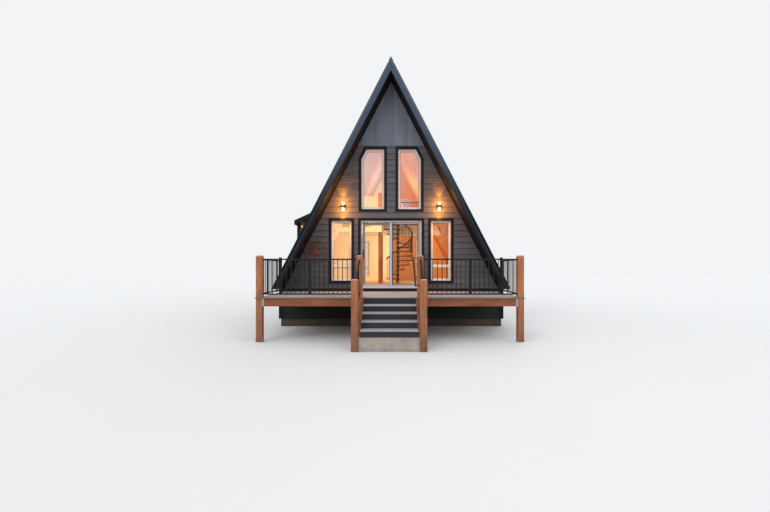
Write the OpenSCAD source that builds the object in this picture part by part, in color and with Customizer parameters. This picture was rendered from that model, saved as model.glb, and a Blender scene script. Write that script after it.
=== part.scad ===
// A-frame cabin on a raised platform, with a front deck and stair, a side
// dormer, a loft and a spiral stair. Millimetres, +Z up, -Y is the front.
// Lengths along Y are measured from the outer face of the front wall, which
// lies at front_y. Height zero is the lowest ground that the piers reach.

/* [Cabin] */
// Width of the floor platform
cabin_w = 6706; // [5000:1:9000]
// Length of the cabin between the outer faces of its end walls
cabin_l = 8534; // [7600:1:12000]
// Height of the deck surface over the lowest ground
deck_h = 1050; // [900:1:2500]
// Step up from the deck surface to the cabin floor
floor_step = 100; // [40:1:200]
// Thickness of the end walls
wall_t = 140; // [90:1:220]
// Depth of the floor platform with its joists
floor_t = 260; // [150:1:400]

/* [Roof] */
// Width of the roof at floor level
roof_w = 6840; // [6200:1:7560]
// Height of the ridge over the floor
ridge_h = 6640; // [5980:1:7400]
// Thickness of each roof slope, square to it
roof_t = 164; // [100:1:300]
// Clearance between the slanted roofs and what is fitted to them
fit_gap = 0.3; // [0.2:0.1:0.8]
// Reach of the roof past each end wall
overhang = 610; // [300:1:900]
// Thickness of the rake fascia boards
fascia_t = 25; // [15:1:50]
// Width of the raised strip along the fascias' upper edge
strip_w = 60; // [30:1:100]
// Thickness of the raised strip
strip_t = 18; // [8:1:40]
// Length of the ridge cap's legs down each slope
cap_leg = 150; // [80:1:300]
// Thickness of the ridge cap
cap_t = 12; // [4:1:30]
// Largest spacing of the standing seams on the roofs
seam_pitch = 420; // [300:1:600]
// Height of the standing seams
seam_rise = 25; // [10:1:40]
// Thickness of the standing seams
seam_t = 12; // [6:1:20]
// Distance of the outermost seams from the roofs' ends
seam_margin = 50; // [30:1:150]
// Width of the dark frieze board below the slopes
frieze_w = 30; // [20:1:150]

/* [Foundation] */
// Height of the concrete over the lowest ground
concrete_h = 230; // [100:1:500]
// Thickness of the concrete walls
concrete_t = 200; // [120:1:300]
// Inset of the concrete behind the skirt wall
concrete_inset = 30; // [0:1:80]
// Face width of the boards on the platform's corners
corner_w = 108; // [60:1:160]
// Thickness of the boards on the platform's corners
corner_t = 24; // [12:1:40]

/* [Door] */
// Width of the sliding door's frame
door_w = 1830; // [1500:1:2400]
// Height of the sliding door's frame
door_h = 2030; // [1900:1:2300]
// Face width of the frame's jambs and head
jamb_w = 38; // [25:1:60]
// Height of the door's sill
sill_h = 40; // [20:1:60]
// Face width of the sashes
sash_w = 76; // [50:1:110]
// Thickness of the sashes
sash_t = 38; // [25:1:50]
// Running gap between the sliding sash and its neighbours
door_gap = 6; // [5:1:10]
// Clearance under the sliding sash's rollers
roller_gap = 0.3; // [0.2:0.1:0.8]
// Width by which the two sashes lap at the middle
door_lap = 60; // [30:1:90]
// Height of the door handle's middle over the floor
handle_z = 1020; // [850:1:1150]
// Height of the door handle
handle_h = 250; // [120:1:400]
// Width of the door handle
handle_w = 24; // [16:1:36]
// Distance that the handle stands out from its sash
handle_out = 40; // [32:1:44]

// Distance from the wall's face to the insect screen
screen_y = 8; // [6:1:12]
// Thickness of the insect screen's frame
screen_t = 12; // [8:1:14]
// Face width of the insect screen's frame
screen_w = 50; // [30:1:70]
// Thickness of the insect screen's mesh
mesh_t = 2; // [1:1:4]

/* [Windows] */
// Width of the windows beside the door
side_win_w = 600; // [400:1:800]
// Height of the windows beside the door
side_win_h = 1807; // [1000:1:1950]
// Distance from the centre line to the middle of a side window
side_win_x = 1498; // [1400:1:1700]
// Width of the upper windows
upper_win_w = 685; // [400:1:800]
// Distance from the gable panel down to the upper windows
upper_win_gap = 106; // [90:1:400]
// Distance from the centre line to the middle of an upper window
upper_win_x = 554; // [480:1:620]
// Height of the upper windows' sill over the floor
upper_sill = 2376; // [2300:1:2600]
// Distance from the roof's underside to an upper window's slanted corner
clip_gap = 300; // [230:1:340]
// Face width of the window frames
frame_w = 66; // [30:1:100]
// Depth of the window frames
frame_t = 90; // [50:1:90]
// Height of the side windows' cross rail over their sill
cross_z = 385; // [200:1:800]
// Height of the side windows' cross rail
cross_h = 100; // [40:1:120]
// Thickness of a pane of glass
glass_t = 20; // [6:1:30]
// Width of the flat trim round doors and windows
trim_w = 80; // [50:1:120]
// Thickness of the flat trim
trim_t = 24; // [12:1:40]

/* [Gable] */
// Height of the gable panel, up to the ridge
gable_h = 2350; // [1800:1:2400]
// Thickness of the gable panel
panel_t = 14; // [8:1:25]
// Spacing of the battens
batten_pitch = 426; // [200:1:600]
// Width of a batten
batten_w = 50; // [30:1:90]
// Thickness of a batten
batten_t = 18; // [10:1:30]

/* [Dormer] */
// Distance from the front wall to the dormer's front wall
dormer_y = 2230; // [1500:1:2600]
// Length of the dormer
dormer_l = 2040; // [1600:1:2040]
// Reach of the dormer roof past its side wall
dormer_eave_reach = 67; // [20:1:300]
// Height of the dormer roof's upper edge at the eave, over the floor
dormer_eave = 2270; // [2250:1:2600]
// Rise of the dormer roof for each unit of width
dormer_slope = 0.467; // [0.3:0.001:0.6]
// Depth of the dormer roof, measured upright
dormer_roof_t = 132; // [80:1:200]
// Reach of the dormer roof past its end walls
dormer_reach = 250; // [100:1:400]

/* [Loft] */
// Height of the loft floor over the cabin floor
loft_h = 2500; // [2300:1:2900]
// Thickness of the loft floor
loft_t = 200; // [120:1:300]
// Distance from the front wall to the stairwell's front edge
well_y = 4280; // [4200:1:5200]
// Width of the square stairwell
well_w = 1340; // [1300:1:1600]
// Distance from the centre line to the stairwell's left edge
well_x = 430; // [200:1:600]
// Side of the timber posts in the room
room_post = 140; // [90:1:190]
// Distance from the centre line to the right-hand post
far_post_x = 1110; // [950:1:1400]
// Depth of the loft beam
beam_h = 200; // [140:1:300]
// Height of the guard rail and the half wall on the loft
guard_h = 1050; // [850:1:1100]
// Thickness of the half wall at the front of the loft
half_wall_t = 100; // [60:1:140]
// Height of the newel at the half wall's end over the loft
newel_h = 1200; // [1100:1:1500]

/* [Spiral stair] */
// Gap between the treads and the loft's edge
spiral_gap = 17; // [10:1:40]
// Outer radius of the treads
spiral_r = 640; // [500:1:640]
// Radius of the centre pole
pole_r = 38; // [35:1:80]
// Radius of the pole's foot plate
pole_plate_r = 99; // [80:1:160]
// Thickness of the pole's foot plate
pole_plate_t = 14; // [6:1:30]
// Radius of the treads' hubs on the pole
hub_r = 60; // [50:1:90]
// Depth of the treads' hubs
hub_h = 110; // [60:1:160]
// Number of risers from floor to loft
spiral_risers = 13; // [12:1:14]
// Turn of each tread in degrees
tread_turn = 25; // [22:1:26]
// Direction of the first tread's front edge in degrees
first_turn = -138; // [-150:1:-130]
// Thickness of the spiral treads
spiral_tread_t = 36; // [20:1:60]
// Direction of the top landing's far edge in degrees
landing_turn = 200; // [190:1:230]
// Height of the spiral handrail over the treads
spiral_rail_h = 911; // [800:1:1000]
// Radius of the spiral handrail
spiral_rail_r = 19; // [12:1:25]
// Radius of the spiral balusters
spiral_bar_r = 9; // [6:1:14]
// Number of balusters on each spiral tread
bars_per_tread = 3; // [1:1:4]

/* [Deck] */
// Depth of the deck from the front wall to its front edge
deck_d = 2690; // [2000:1:4000]
// Width of the deck
deck_w = 6330; // [5000:1:9000]
// Thickness of the deck boards
board_t = 25; // [18:1:40]
// Height of the joists and rims
joist_h = 184; // [140:1:240]
// Thickness of the joists and rims
joist_t = 38; // [30:1:60]
// Spacing of the joists
joist_pitch = 406; // [300:1:610]
// Reach of the deck boards past the rim
nosing = 25; // [10:1:40]
// Side of the timber posts
post_w = 146; // [90:1:200]
// Height of the deck's posts over its surface
post_h = 990; // [950:1:1200]
// Width of the chamfer on the top of a post
post_chamfer = 14; // [5:1:30]
// Distance from the deck's edge to a corner post
post_inset = 15; // [5:1:60]
// Thickness of the steel shoes and hangers
steel_t = 3; // [2:1:6]
// Thickness of a shoe's base plate
shoe_t = 6; // [4:1:12]
// Height of the shoes under the posts
shoe_h = 90; // [50:1:150]
// Width of the rims' hangers
hanger_w = 45; // [30:1:60]
// Gap at each end of a joist, where it sits in its hanger
hanger_gap = 3; // [2:1:6]

/* [Stair] */
// Number of risers from the ground to the deck
risers = 5; // [3:1:6]
// Height of each riser
riser_h = 150; // [120:1:180]
// Depth of each tread from riser to riser
tread_d = 279; // [240:1:320]
// Clear width between the stringers
stair_w = 1210; // [900:1:1500]
// Thickness of the treads
tread_t = 30; // [20:1:45]
// Thickness of the riser boards
riser_t = 18; // [10:1:30]
// Depth of the concrete footing under the stair
footing_d = 415; // [250:1:700]
// Depth of the stringers, measured upright
stringer_h = 330; // [300:1:360]
// Height of the lower posts over the stair's foot
low_post_h = 1206; // [1100:1:1400]

/* [Railings] */
// Height of the railings over the deck
rail_h = 914; // [900:1:940]
// Height of the lower rail over the deck
low_rail_z = 62; // [50:1:120]
// Side of the square rails
rail_w = 32; // [20:1:50]
// Side of the square balusters
bar_w = 16; // [10:1:25]
// Spacing of the balusters
bar_pitch = 110; // [80:1:150]
// Side of the metal posts
metal_post_w = 64; // [40:1:80]
// Height of the metal end posts over the deck
metal_post_h = 994; // [950:1:1100]
// Reach of the metal posts' foot plates and caps past the post
plate_reach = 20; // [10:1:40]
// Thickness of the metal posts' foot plates and caps
post_plate_t = 8; // [5:1:15]
// Length of the railing down each side of the deck
side_railing_l = 1580; // [1000:1:1900]
// Drop of the stair's upper rail below the deck's
stair_rail_drop = 30; // [0:1:60]
// Height of the stair's lower rail over the line of the noses
stair_rail_low = 130; // [80:1:180]
// Height of the stair's handrail over the deck's rail
grip_lift = 20; // [0:1:60]
// Radius of the stair's handrail
grip_r = 19; // [15:1:25]
// Distance between the handrail and the stair's posts
grip_gap = 95; // [60:1:120]

/* [Fittings] */
// Distance from the centre line to a wall light
sconce_x = 1440; // [1350:1:1600]
// Height of a wall light's middle over the floor
sconce_z = 2450; // [2300:1:2700]
// Radius of a wall light
sconce_r = 52; // [30:1:70]
// Height of a wall light
sconce_h = 185; // [120:1:260]
// Wall thickness of a wall light's tube
sconce_t = 5; // [3:1:12]
// Depth of the hollow in each end of a wall light
sconce_hollow = 60; // [20:1:80]
// Distance from the wall to a wall light's middle
sconce_out = 90; // [80:1:130]
// Distance from the dormer's corner to its light
dormer_light_in = 180; // [120:1:400]
// Distance from the dormer's eave down to its light
dormer_light_drop = 260; // [230:1:500]
// Side of a wall light's square back plate
plate_w = 110; // [80:1:150]
// Radius of the round wall ornament
ornament_r = 335; // [250:1:345]
// Thickness of the wall ornament
ornament_t = 12; // [6:1:20]
// Width of the ornament's rim
ring_w = 30; // [15:1:60]
// Number of the ornament's spokes
spokes = 12; // [6:1:16]
// Distance from the wall to the ornament
ornament_out = 30; // [20:1:60]
// Clearance from the roof's underside to the ornament
ornament_gap = 20; // [10:1:60]
// Height of the ornament's middle over the floor
ornament_z = 1096; // [900:1:1200]

/* [Hidden] */
$fn = 48;
plate_t = 10;

// Roof lines
run = roof_w / 2 / ridge_h;
slope_len = sqrt(1 + run * run);
roof_upright = roof_t * slope_len / run;
roof_level = roof_t * slope_len;
floor_z = deck_h + floor_step;
ridge_z = floor_z + ridge_h;
inner_ridge_z = ridge_z - roof_upright;
function outer_x(z) = (ridge_z - z) * run;
function under_x(z) = (inner_ridge_z - z) * run;
apex_z = inner_ridge_z - fit_gap / run;
function inner_x(z) = (apex_z - z) * run;

// Places along Y and Z
stair_run = (risers - 1) * tread_d;
stair_front = deck_d + stair_run;
front_y = (stair_front - cabin_l - overhang) / 2;
foot_z = deck_h - risers * riser_h;
skirt_top = floor_z - floor_t;
rim_y = -(deck_d - nosing);
joist_top = deck_h - board_t;
post_x = deck_w / 2 - post_inset - post_w / 2;
stair_post_x = stair_w / 2 + joist_t + post_w / 2;
low_post_y = -(stair_front - post_w / 2);
footing_y = -(stair_front - post_w / 4);
pitch = riser_h / tread_d;

// Openings
door_top = floor_z + door_h;
side_sill = door_top - side_win_h;
upper_z = floor_z + upper_sill;
gable_z = ridge_z - gable_h;
upper_win_h = gable_z - upper_win_gap - upper_z;
glass_y = wall_t / 2 - glass_t / 2;
sash_clear_w = door_w / 2 - jamb_w;
sash_bottom = floor_z + sill_h;
sash_top = door_top - jamb_w;
outer_track = wall_t / 2 - sash_t - door_gap / 2;
inner_track = wall_t / 2 + door_gap / 2;

// Dormer
dormer_x = cabin_w / 2;
eave_x = dormer_x + dormer_eave_reach;
dormer_inside = dormer_y + wall_t;
dormer_back = dormer_y + dormer_l;
dormer_z = floor_z + dormer_eave;
function dormer_top(x) = dormer_z + dormer_slope * (eave_x - x);
// Where a plane at a depth below the dormer roof's top meets the main slope
function meet_x(depth) = (ridge_z - dormer_top(0) + depth) * run / (1 - dormer_slope * run);
join_x = meet_x(0);
header_x = meet_x(dormer_roof_t);
header_z = ridge_z - header_x / run;
join_z = dormer_top(join_x);
wall_lift = fit_gap / run;
wall_drop = dormer_roof_t + fit_gap;

// Roof sheets and their standing seams
roof_start = -(overhang - fascia_t - strip_t);
roof_end = cabin_l - roof_start;
run_out = 1 / slope_len;
run_up = run / slope_len;
seam_sink = 3;
seam_clear = 60;
seam_low = floor_z + seam_clear;
seam_high = ridge_z - cap_leg / slope_len - seam_clear / 4;
function spread(from, to) =
    let (count = ceil((to - from - 2 * seam_margin) / seam_pitch))
    [for (i = [0:count]) from + seam_margin + i * (to - from - 2 * seam_margin) / count];
seam_places = spread(roof_start, roof_end);
dormer_seam_places = spread(dormer_y - dormer_reach, dormer_back + dormer_reach);
// Whether a seam at y touches the stretch between two places, or lies in it
function near(y, from, to) = y + seam_t > from && y - seam_t < to;
function inside(y, from, to) = y - seam_t > from && y + seam_t < to;

// Loft and spiral stair
loft_z = floor_z + loft_h;
well_back = well_y + well_w;
spiral_x = spiral_r - well_x + spiral_gap;
spiral_y = well_y + well_w / 2;
spiral_rise = loft_h / spiral_risers;
last_turn = first_turn + (spiral_risers - 1) * tread_turn;
rail_turn = spiral_r - spiral_rail_r;

// A shape drawn in X and Z, drawn out along Y from y by depth
module along_y(y, depth) {
    translate([0, front_y + y + depth, 0])
        rotate([90, 0, 0])
            linear_extrude(depth)
                children();
}

// A shape drawn in Y and Z, drawn out along X from x by depth
module along_x(x, depth) {
    translate([x, front_y, 0])
        rotate([90, 0, 90])
            linear_extrude(depth)
                children();
}

// A box from one corner to the opposite one, with Y from the front wall
module block(low, high) {
    translate([low[0], front_y + low[1], low[2]])
        cube(high - low);
}

module both_sides() {
    children();
    mirror([1, 0, 0]) children();
}

module window_outline(w, h, clip) {
    grown_outline(w, h, clip, 0);
}

// The outline grown outwards by a margin. An upper window's outer corner is
// cut parallel to the roof, which gives its edge at height z over the sill
module grown_outline(w, h, clip, margin) {
    side = w / 2 + margin;
    top = h + margin;
    cut_x = inner_x(upper_z + top) - (clip_gap - margin) * slope_len - upper_win_x;
    cut_z = top - (side - cut_x) / run;
    polygon(clip ? [[-side, -margin], [side, -margin], [side, cut_z], [cut_x, top], [-side, top]]
        : [[-side, -margin], [side, -margin], [side, top], [-side, top]]);
}

module side_outlines() {
    both_sides()
        translate([side_win_x, side_sill])
            window_outline(side_win_w, side_win_h, false);
}

module upper_outlines() {
    both_sides()
        translate([upper_win_x, upper_z])
            window_outline(upper_win_w, upper_win_h, true);
}

module at_side_windows() {
    both_sides() translate([side_win_x, side_sill]) children();
}

module at_upper_windows() {
    both_sides() translate([upper_win_x, upper_z]) children();
}

// Side windows have a cross rail over a low pane
module window_panes(w, h, clip) {
    difference() {
        grown_outline(w, h, clip, -frame_w);
        if (!clip)
            translate([-w / 2, cross_z]) square([w, cross_h]);
    }
}

module frame_ring(w, h, clip) {
    difference() {
        window_outline(w, h, clip);
        window_panes(w, h, clip);
    }
}

// Foundation and platform

module end_blocks(inset, t, z_low, z_high) {
    half = cabin_w / 2 - inset;
    block([-half + t, inset, z_low], [half - t, inset + t, z_high]);
    block([-half + t, cabin_l - inset - t, z_low], [half - t, cabin_l - inset, z_high]);
}

module side_blocks(inset, t, z_low, z_high) {
    half = cabin_w / 2 - inset;
    both_sides()
        block([half - t, inset, z_low], [half, cabin_l - inset, z_high]);
}

module foundation_ends() {
    color("tan") end_blocks(concrete_inset, concrete_t, 0, concrete_h);
}

module foundation_sides() {
    color("tan") side_blocks(concrete_inset, concrete_t, 0, concrete_h);
}

module skirt_ends() {
    color("dimgray") end_blocks(0, wall_t, concrete_h, skirt_top);
}

module skirt_sides() {
    color("dimgray") side_blocks(0, wall_t, concrete_h, skirt_top);
}

// Boards that wrap the platform's corners
module skirt_corners() {
    color("#23262d")
        both_ends()
            both_sides()
                difference() {
                    block([cabin_w / 2 - corner_w, -corner_t, concrete_h],
                        [cabin_w / 2 + corner_t, corner_w, floor_z - fit_gap]);
                    block([0, 0, 0], [cabin_w / 2, cabin_l, floor_z]);
                    block([0, -corner_t - 1, joist_top - joist_h - fit_gap],
                        [deck_w / 2 + fit_gap, 0, deck_h + fit_gap]);
                }
}

module main_floor() {
    color("sandybrown")
        block([-cabin_w / 2, 0, skirt_top], [cabin_w / 2, cabin_l, floor_z]);
}

// End walls

module lower_wall_half() {
    along_y(0, wall_t)
        difference() {
            polygon([[door_w / 2, floor_z], [inner_x(floor_z), floor_z],
                [inner_x(door_top), door_top], [door_w / 2, door_top]]);
            side_outlines();
        }
}

module front_wall_right() {
    color("dimgray") lower_wall_half();
}

module front_wall_left() {
    color("dimgray") mirror([1, 0, 0]) lower_wall_half();
}

module front_wall_upper() {
    color("dimgray")
        along_y(0, wall_t)
            difference() {
                polygon([[-inner_x(door_top), door_top], [inner_x(door_top), door_top],
                    [0, apex_z]]);
                upper_outlines();
            }
}

module end_triangle() {
    polygon([[-inner_x(floor_z), floor_z], [inner_x(floor_z), floor_z], [0, apex_z]]);
}

module rear_wall() {
    color("dimgray")
        along_y(cabin_l - wall_t, wall_t)
            difference() {
                end_triangle();
                side_outlines();
                upper_outlines();
            }
}

module gable_outline() {
    half = inner_x(gable_z) - frieze_w * slope_len - fit_gap;
    polygon([[-half, gable_z], [half, gable_z], [0, gable_z + half / run]]);
}

module gable_panel() {
    count = floor(inner_x(gable_z) / batten_pitch);
    along_y(-panel_t, panel_t) gable_outline();
    along_y(-panel_t - batten_t, batten_t)
        intersection() {
            gable_outline();
            for (i = [-count:count])
                translate([i * batten_pitch - batten_w / 2, gable_z])
                    square([batten_w, ridge_h]);
        }
}

// What is on the front wall, repeated on the rear wall
module both_ends() {
    children();
    translate([0, 2 * front_y + cabin_l, 0]) mirror([0, 1, 0]) children();
}

module gable_panels() {
    color("slategray") both_ends() gable_panel();
}

module frieze_boards() {
    color("#23262d")
        both_ends()
            along_y(-trim_t, trim_t)
                difference() {
                    end_triangle();
                    translate([0, -frieze_w * slope_len / run]) end_triangle();
                }
}

// Roof

module slope_outline(z_low, side) {
    polygon([[side * outer_x(z_low), z_low], [side * under_x(z_low), z_low],
        [0, inner_ridge_z], [0, ridge_z]]);
}

// A standing seam on a main slope, between two heights
module seam(y, z_low, z_high, side) {
    out = [run_out, run_up] * seam_rise;
    sink = [run_out, run_up] * -seam_sink;
    low = [outer_x(z_low), z_low];
    high = [outer_x(z_high), z_high];
    along_y(y - seam_t / 2, seam_t)
        scale([side, 1])
            polygon([low + sink, low + out, high + out, high + sink]);
}

module roof_right() {
    color("#2b2f36") {
        along_y(roof_start, roof_end - roof_start)
            slope_outline(floor_z, 1);
        for (y = seam_places)
            seam(y, seam_low, seam_high, 1);
    }
}

// The seams stop above and below the dormer's roof, and at its end walls
module roof_left_ends() {
    color("#2b2f36") {
        along_y(roof_start, dormer_inside - roof_start)
            slope_outline(floor_z, -1);
        along_y(dormer_back - wall_t, roof_end - dormer_back + wall_t)
            slope_outline(floor_z, -1);
        for (y = seam_places)
            if (!near(y, dormer_y - dormer_reach, dormer_back + dormer_reach))
                seam(y, seam_low, seam_high, -1);
            else if (!near(y, dormer_inside, dormer_back - wall_t)) {
                seam(y, join_z + seam_clear, seam_high, -1);
                if (!near(y, dormer_y, dormer_back))
                    seam(y, seam_low, header_z - seam_clear, -1);
            }
    }
}

module roof_left_upper() {
    color("#2b2f36") {
        along_y(dormer_inside, dormer_l - 2 * wall_t)
            slope_outline(header_z, -1);
        for (y = seam_places)
            if (inside(y, dormer_inside, dormer_back - wall_t))
                seam(y, join_z + seam_clear, seam_high, -1);
    }
}

module ridge_cap() {
    leg_x = cap_leg * run / slope_len;
    leg_z = cap_leg / slope_len;
    lift = cap_t * slope_len / run;
    color("#2b2f36")
        along_y(-overhang, cabin_l + 2 * overhang)
            polygon([[0, ridge_z], [leg_x, ridge_z - leg_z], [leg_x, ridge_z - leg_z + lift],
                [0, ridge_z + lift], [-leg_x, ridge_z - leg_z + lift], [-leg_x, ridge_z - leg_z]]);
}

// The fascia board at the front, with its raised strip, repeated at the rear
module rake_fascia(side) {
    strip_drop = strip_w * slope_len / run;
    both_ends() {
        along_y(-overhang + strip_t, fascia_t)
            slope_outline(floor_z, side);
        along_y(-overhang, strip_t)
            difference() {
                slope_outline(floor_z, side);
                translate([0, -strip_drop]) slope_outline(floor_z - ridge_h, side);
            }
    }
}

module rake_fascia_left() {
    color("#30343f") rake_fascia(-1);
}

module rake_fascia_right() {
    color("#30343f") rake_fascia(1);
}

// Dormer

module dormer_roof() {
    lean = [dormer_slope, 1] / sqrt(1 + pow(dormer_slope, 2));
    low = [eave_x - seam_clear / 2, dormer_top(eave_x - seam_clear / 2)];
    high = [join_x + seam_clear / 2, dormer_top(join_x + seam_clear / 2)];
    color("#2b2f36") {
        along_y(dormer_y - dormer_reach, dormer_l + 2 * dormer_reach)
            mirror([1, 0])
                polygon([[eave_x, dormer_z], [join_x, join_z],
                    [header_x, header_z], [eave_x, dormer_z - dormer_roof_t]]);
        for (y = dormer_seam_places)
            along_y(y - seam_t / 2, seam_t)
                mirror([1, 0])
                    polygon([low - lean * seam_sink, low + lean * seam_rise,
                        high + lean * seam_rise, high - lean * seam_sink]);
    }
}

// The end walls are cut to the main slope and stand on the floor platform
module dormer_cheeks() {
    corner_x = meet_x(wall_drop + wall_lift);
    color("dimgray")
        for (y = [dormer_y, dormer_back - wall_t])
            along_y(y, wall_t)
                mirror([1, 0])
                    intersection() {
                        polygon([[dormer_x, ridge_z + wall_lift - dormer_x / run],
                            [dormer_x, dormer_top(dormer_x) - wall_drop],
                            [corner_x, dormer_top(corner_x) - wall_drop]]);
                        translate([0, floor_z]) square([dormer_x, ridge_h]);
                    }
}

module dormer_wall_outline() {
    polygon([[dormer_x - wall_t, floor_z], [dormer_x, floor_z],
        [dormer_x, dormer_top(dormer_x) - wall_drop],
        [dormer_x - wall_t, dormer_top(dormer_x - wall_t) - wall_drop]]);
}

// Turns what is drawn round an opening's foot to the dormer's side wall
module at_dormer_window() {
    translate([-dormer_x, front_y + dormer_y + dormer_l / 2, side_sill])
        rotate([90, 0, -90])
            children();
}

module dormer_side_wall() {
    color("dimgray")
        difference() {
            along_y(dormer_inside, dormer_l - 2 * wall_t)
                mirror([1, 0])
                    dormer_wall_outline();
            at_dormer_window()
                translate([0, 0, -wall_t - 1])
                    linear_extrude(wall_t + 2)
                        window_outline(side_win_w, side_win_h, false);
        }
}

// Windows and trim

module opening_trim(w, h, clip) {
    difference() {
        grown_outline(w, h, clip, trim_w);
        window_outline(w, h, clip);
    }
}

module door_trim() {
    translate([0, floor_z])
        difference() {
            translate([-door_w / 2 - trim_w, 0])
                square([door_w + 2 * trim_w, door_h + trim_w]);
            translate([-door_w / 2, -1])
                square([door_w, door_h + 1]);
        }
}

module opening_trims() {
    color("#30343f") {
        both_ends()
            along_y(-trim_t, trim_t) {
                at_side_windows() opening_trim(side_win_w, side_win_h, false);
                at_upper_windows() opening_trim(upper_win_w, upper_win_h, true);
            }
        along_y(-trim_t, trim_t) door_trim();
        at_dormer_window() linear_extrude(trim_t) opening_trim(side_win_w, side_win_h, false);
    }
}

module side_window_frames() {
    frame_y = (wall_t - frame_t) / 2;
    color("gainsboro") {
        both_ends()
            along_y(frame_y, frame_t)
                at_side_windows()
                    frame_ring(side_win_w, side_win_h, false);
        at_dormer_window()
            translate([0, 0, -frame_y - frame_t])
                linear_extrude(frame_t)
                    frame_ring(side_win_w, side_win_h, false);
    }
}

module side_window_glass() {
    color("lightblue", 0.4) {
        both_ends()
            along_y(glass_y, glass_t)
                at_side_windows()
                    window_panes(side_win_w, side_win_h, false);
        at_dormer_window()
            translate([0, 0, -glass_y - glass_t])
                linear_extrude(glass_t)
                    window_panes(side_win_w, side_win_h, false);
    }
}

module upper_window_frames() {
    color("gainsboro")
        both_ends()
            along_y((wall_t - frame_t) / 2, frame_t)
                at_upper_windows()
                    frame_ring(upper_win_w, upper_win_h, true);
}

module upper_window_glass() {
    color("lightblue", 0.4)
        both_ends()
            along_y(glass_y, glass_t)
                at_upper_windows()
                    window_panes(upper_win_w, upper_win_h, true);
}

// Sliding door

module door_frame() {
    color("gainsboro")
        along_y(0, wall_t)
            translate([0, floor_z])
                difference() {
                    translate([-door_w / 2, 0]) square([door_w, door_h]);
                    translate([-door_w / 2 + jamb_w, sill_h])
                        square([door_w - 2 * jamb_w, door_h - jamb_w - sill_h]);
                }
}

// A sash that fills its half of the frame and laps past the middle, with a
// clearance at its head and foot
module sash_outline(margin, clearance) {
    translate([-door_lap / 2 + margin, sash_bottom + clearance + margin])
        square([sash_clear_w + door_lap / 2 - clearance - 2 * margin,
            sash_top - sash_bottom - 2 * clearance - 2 * margin]);
}

module sash(y, thick, face, clearance) {
    along_y(y, thick)
        difference() {
            sash_outline(0, clearance);
            sash_outline(face, clearance);
        }
}

// Two rollers in the foot of a sash that stand just over the sill
module rollers(y, thick, face) {
    for (x = [face, sash_clear_w - 2 * face])
        block([x, y + thick / 4, sash_bottom + roller_gap],
            [x + face, y + thick * 3 / 4, sash_bottom + face / 2]);
}

module sash_glass(y, clearance) {
    along_y(y + (sash_t - glass_t) / 2, glass_t)
        sash_outline(sash_w, clearance);
}

module fixed_sash() {
    color("silver") sash(outer_track, sash_t, sash_w, 0);
}

module fixed_glass() {
    color("lightblue", 0.4) sash_glass(outer_track, 0);
}

module sliding_sash() {
    color("silver")
        mirror([1, 0, 0]) {
            sash(inner_track, sash_t, sash_w, door_gap);
            rollers(inner_track, sash_t, sash_w);
        }
}

module sliding_glass() {
    color("lightblue", 0.4) mirror([1, 0, 0]) sash_glass(inner_track, door_gap);
}

module door_handle() {
    mid_x = -(sash_clear_w - sash_w / 2);
    mid_z = floor_z + handle_z;
    grip = handle_w / 2;
    color("#202020") {
        for (z = [-handle_h / 3, handle_h / 3])
            block([mid_x - grip / 2, inner_track - handle_out + grip, mid_z + z - grip / 2],
                [mid_x + grip / 2, inner_track, mid_z + z + grip / 2]);
        block([mid_x - grip, inner_track - handle_out, mid_z - handle_h / 2],
            [mid_x + grip, inner_track - handle_out + grip, mid_z + handle_h / 2]);
    }
}

// The insect screen stands before the fixed sash and slides over the other
module screen_frame() {
    pull_x = -door_lap / 2 + screen_w / 2;
    color("silver") {
        sash(screen_y, screen_t, screen_w, door_gap);
        rollers(screen_y, screen_t, screen_w);
        block([pull_x - screen_w / 6, screen_y - screen_t, floor_z + handle_z - handle_h / 4],
            [pull_x + screen_w / 6, screen_y, floor_z + handle_z + handle_h / 4]);
    }
}

module screen_mesh() {
    color("dimgray", 0.5)
        along_y(screen_y + (screen_t - mesh_t) / 2, mesh_t)
            sash_outline(screen_w, door_gap);
}

// Fittings on the wall

module wall_light() {
    translate([0, -sconce_out, 0])
        difference() {
            cylinder(r = sconce_r, h = sconce_h, center = true);
            for (side = [-1, 1])
                translate([0, 0, side * sconce_h / 2])
                    cylinder(r = sconce_r - sconce_t, h = 2 * sconce_hollow, center = true);
        }
    translate([-plate_w / 4, -sconce_out, -plate_w / 6])
        cube([plate_w / 2, sconce_out - plate_t, plate_w / 3]);
    translate([-plate_w / 2, -plate_t, -plate_w / 2])
        cube([plate_w, plate_t, plate_w]);
}

module wall_lights() {
    light_z = floor_z + sconce_z;
    color("#202020") {
        both_sides()
            translate([sconce_x, front_y, light_z])
                wall_light();
        translate([-dormer_x + dormer_light_in, front_y + dormer_y, dormer_z - dormer_light_drop])
            wall_light();
    }
}

module wall_ornament() {
    z = floor_z + ornament_z;
    color("chocolate")
        translate([-inner_x(z) + (ornament_r + ornament_gap) * slope_len, front_y, z])
            rotate([90, 0, 0]) {
                cylinder(r = ornament_r / 20, h = ornament_out + 1);
                translate([0, 0, ornament_out]) {
                    difference() {
                        cylinder(r = ornament_r, h = ornament_t);
                        translate([0, 0, -1]) cylinder(r = ornament_r - ring_w, h = ornament_t + 2);
                    }
                    for (i = [0:spokes - 1])
                        rotate([0, 0, i * 360 / spokes])
                            translate([ornament_r / 4, -ring_w / 4, 0])
                                cube([ornament_r * 3 / 4 - ring_w / 2, ring_w / 2, ornament_t]);
                    cylinder(r = ornament_r / 3, h = ornament_t);
                }
            }
}

// Loft

module loft_outline() {
    z_low = loft_z - loft_t;
    polygon([[-inner_x(z_low), z_low], [inner_x(z_low), z_low],
        [inner_x(loft_z), loft_z], [-inner_x(loft_z), loft_z]]);
}

module loft_floor() {
    color("burlywood")
        along_y(well_back, cabin_l - wall_t - well_back)
            loft_outline();
}

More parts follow.
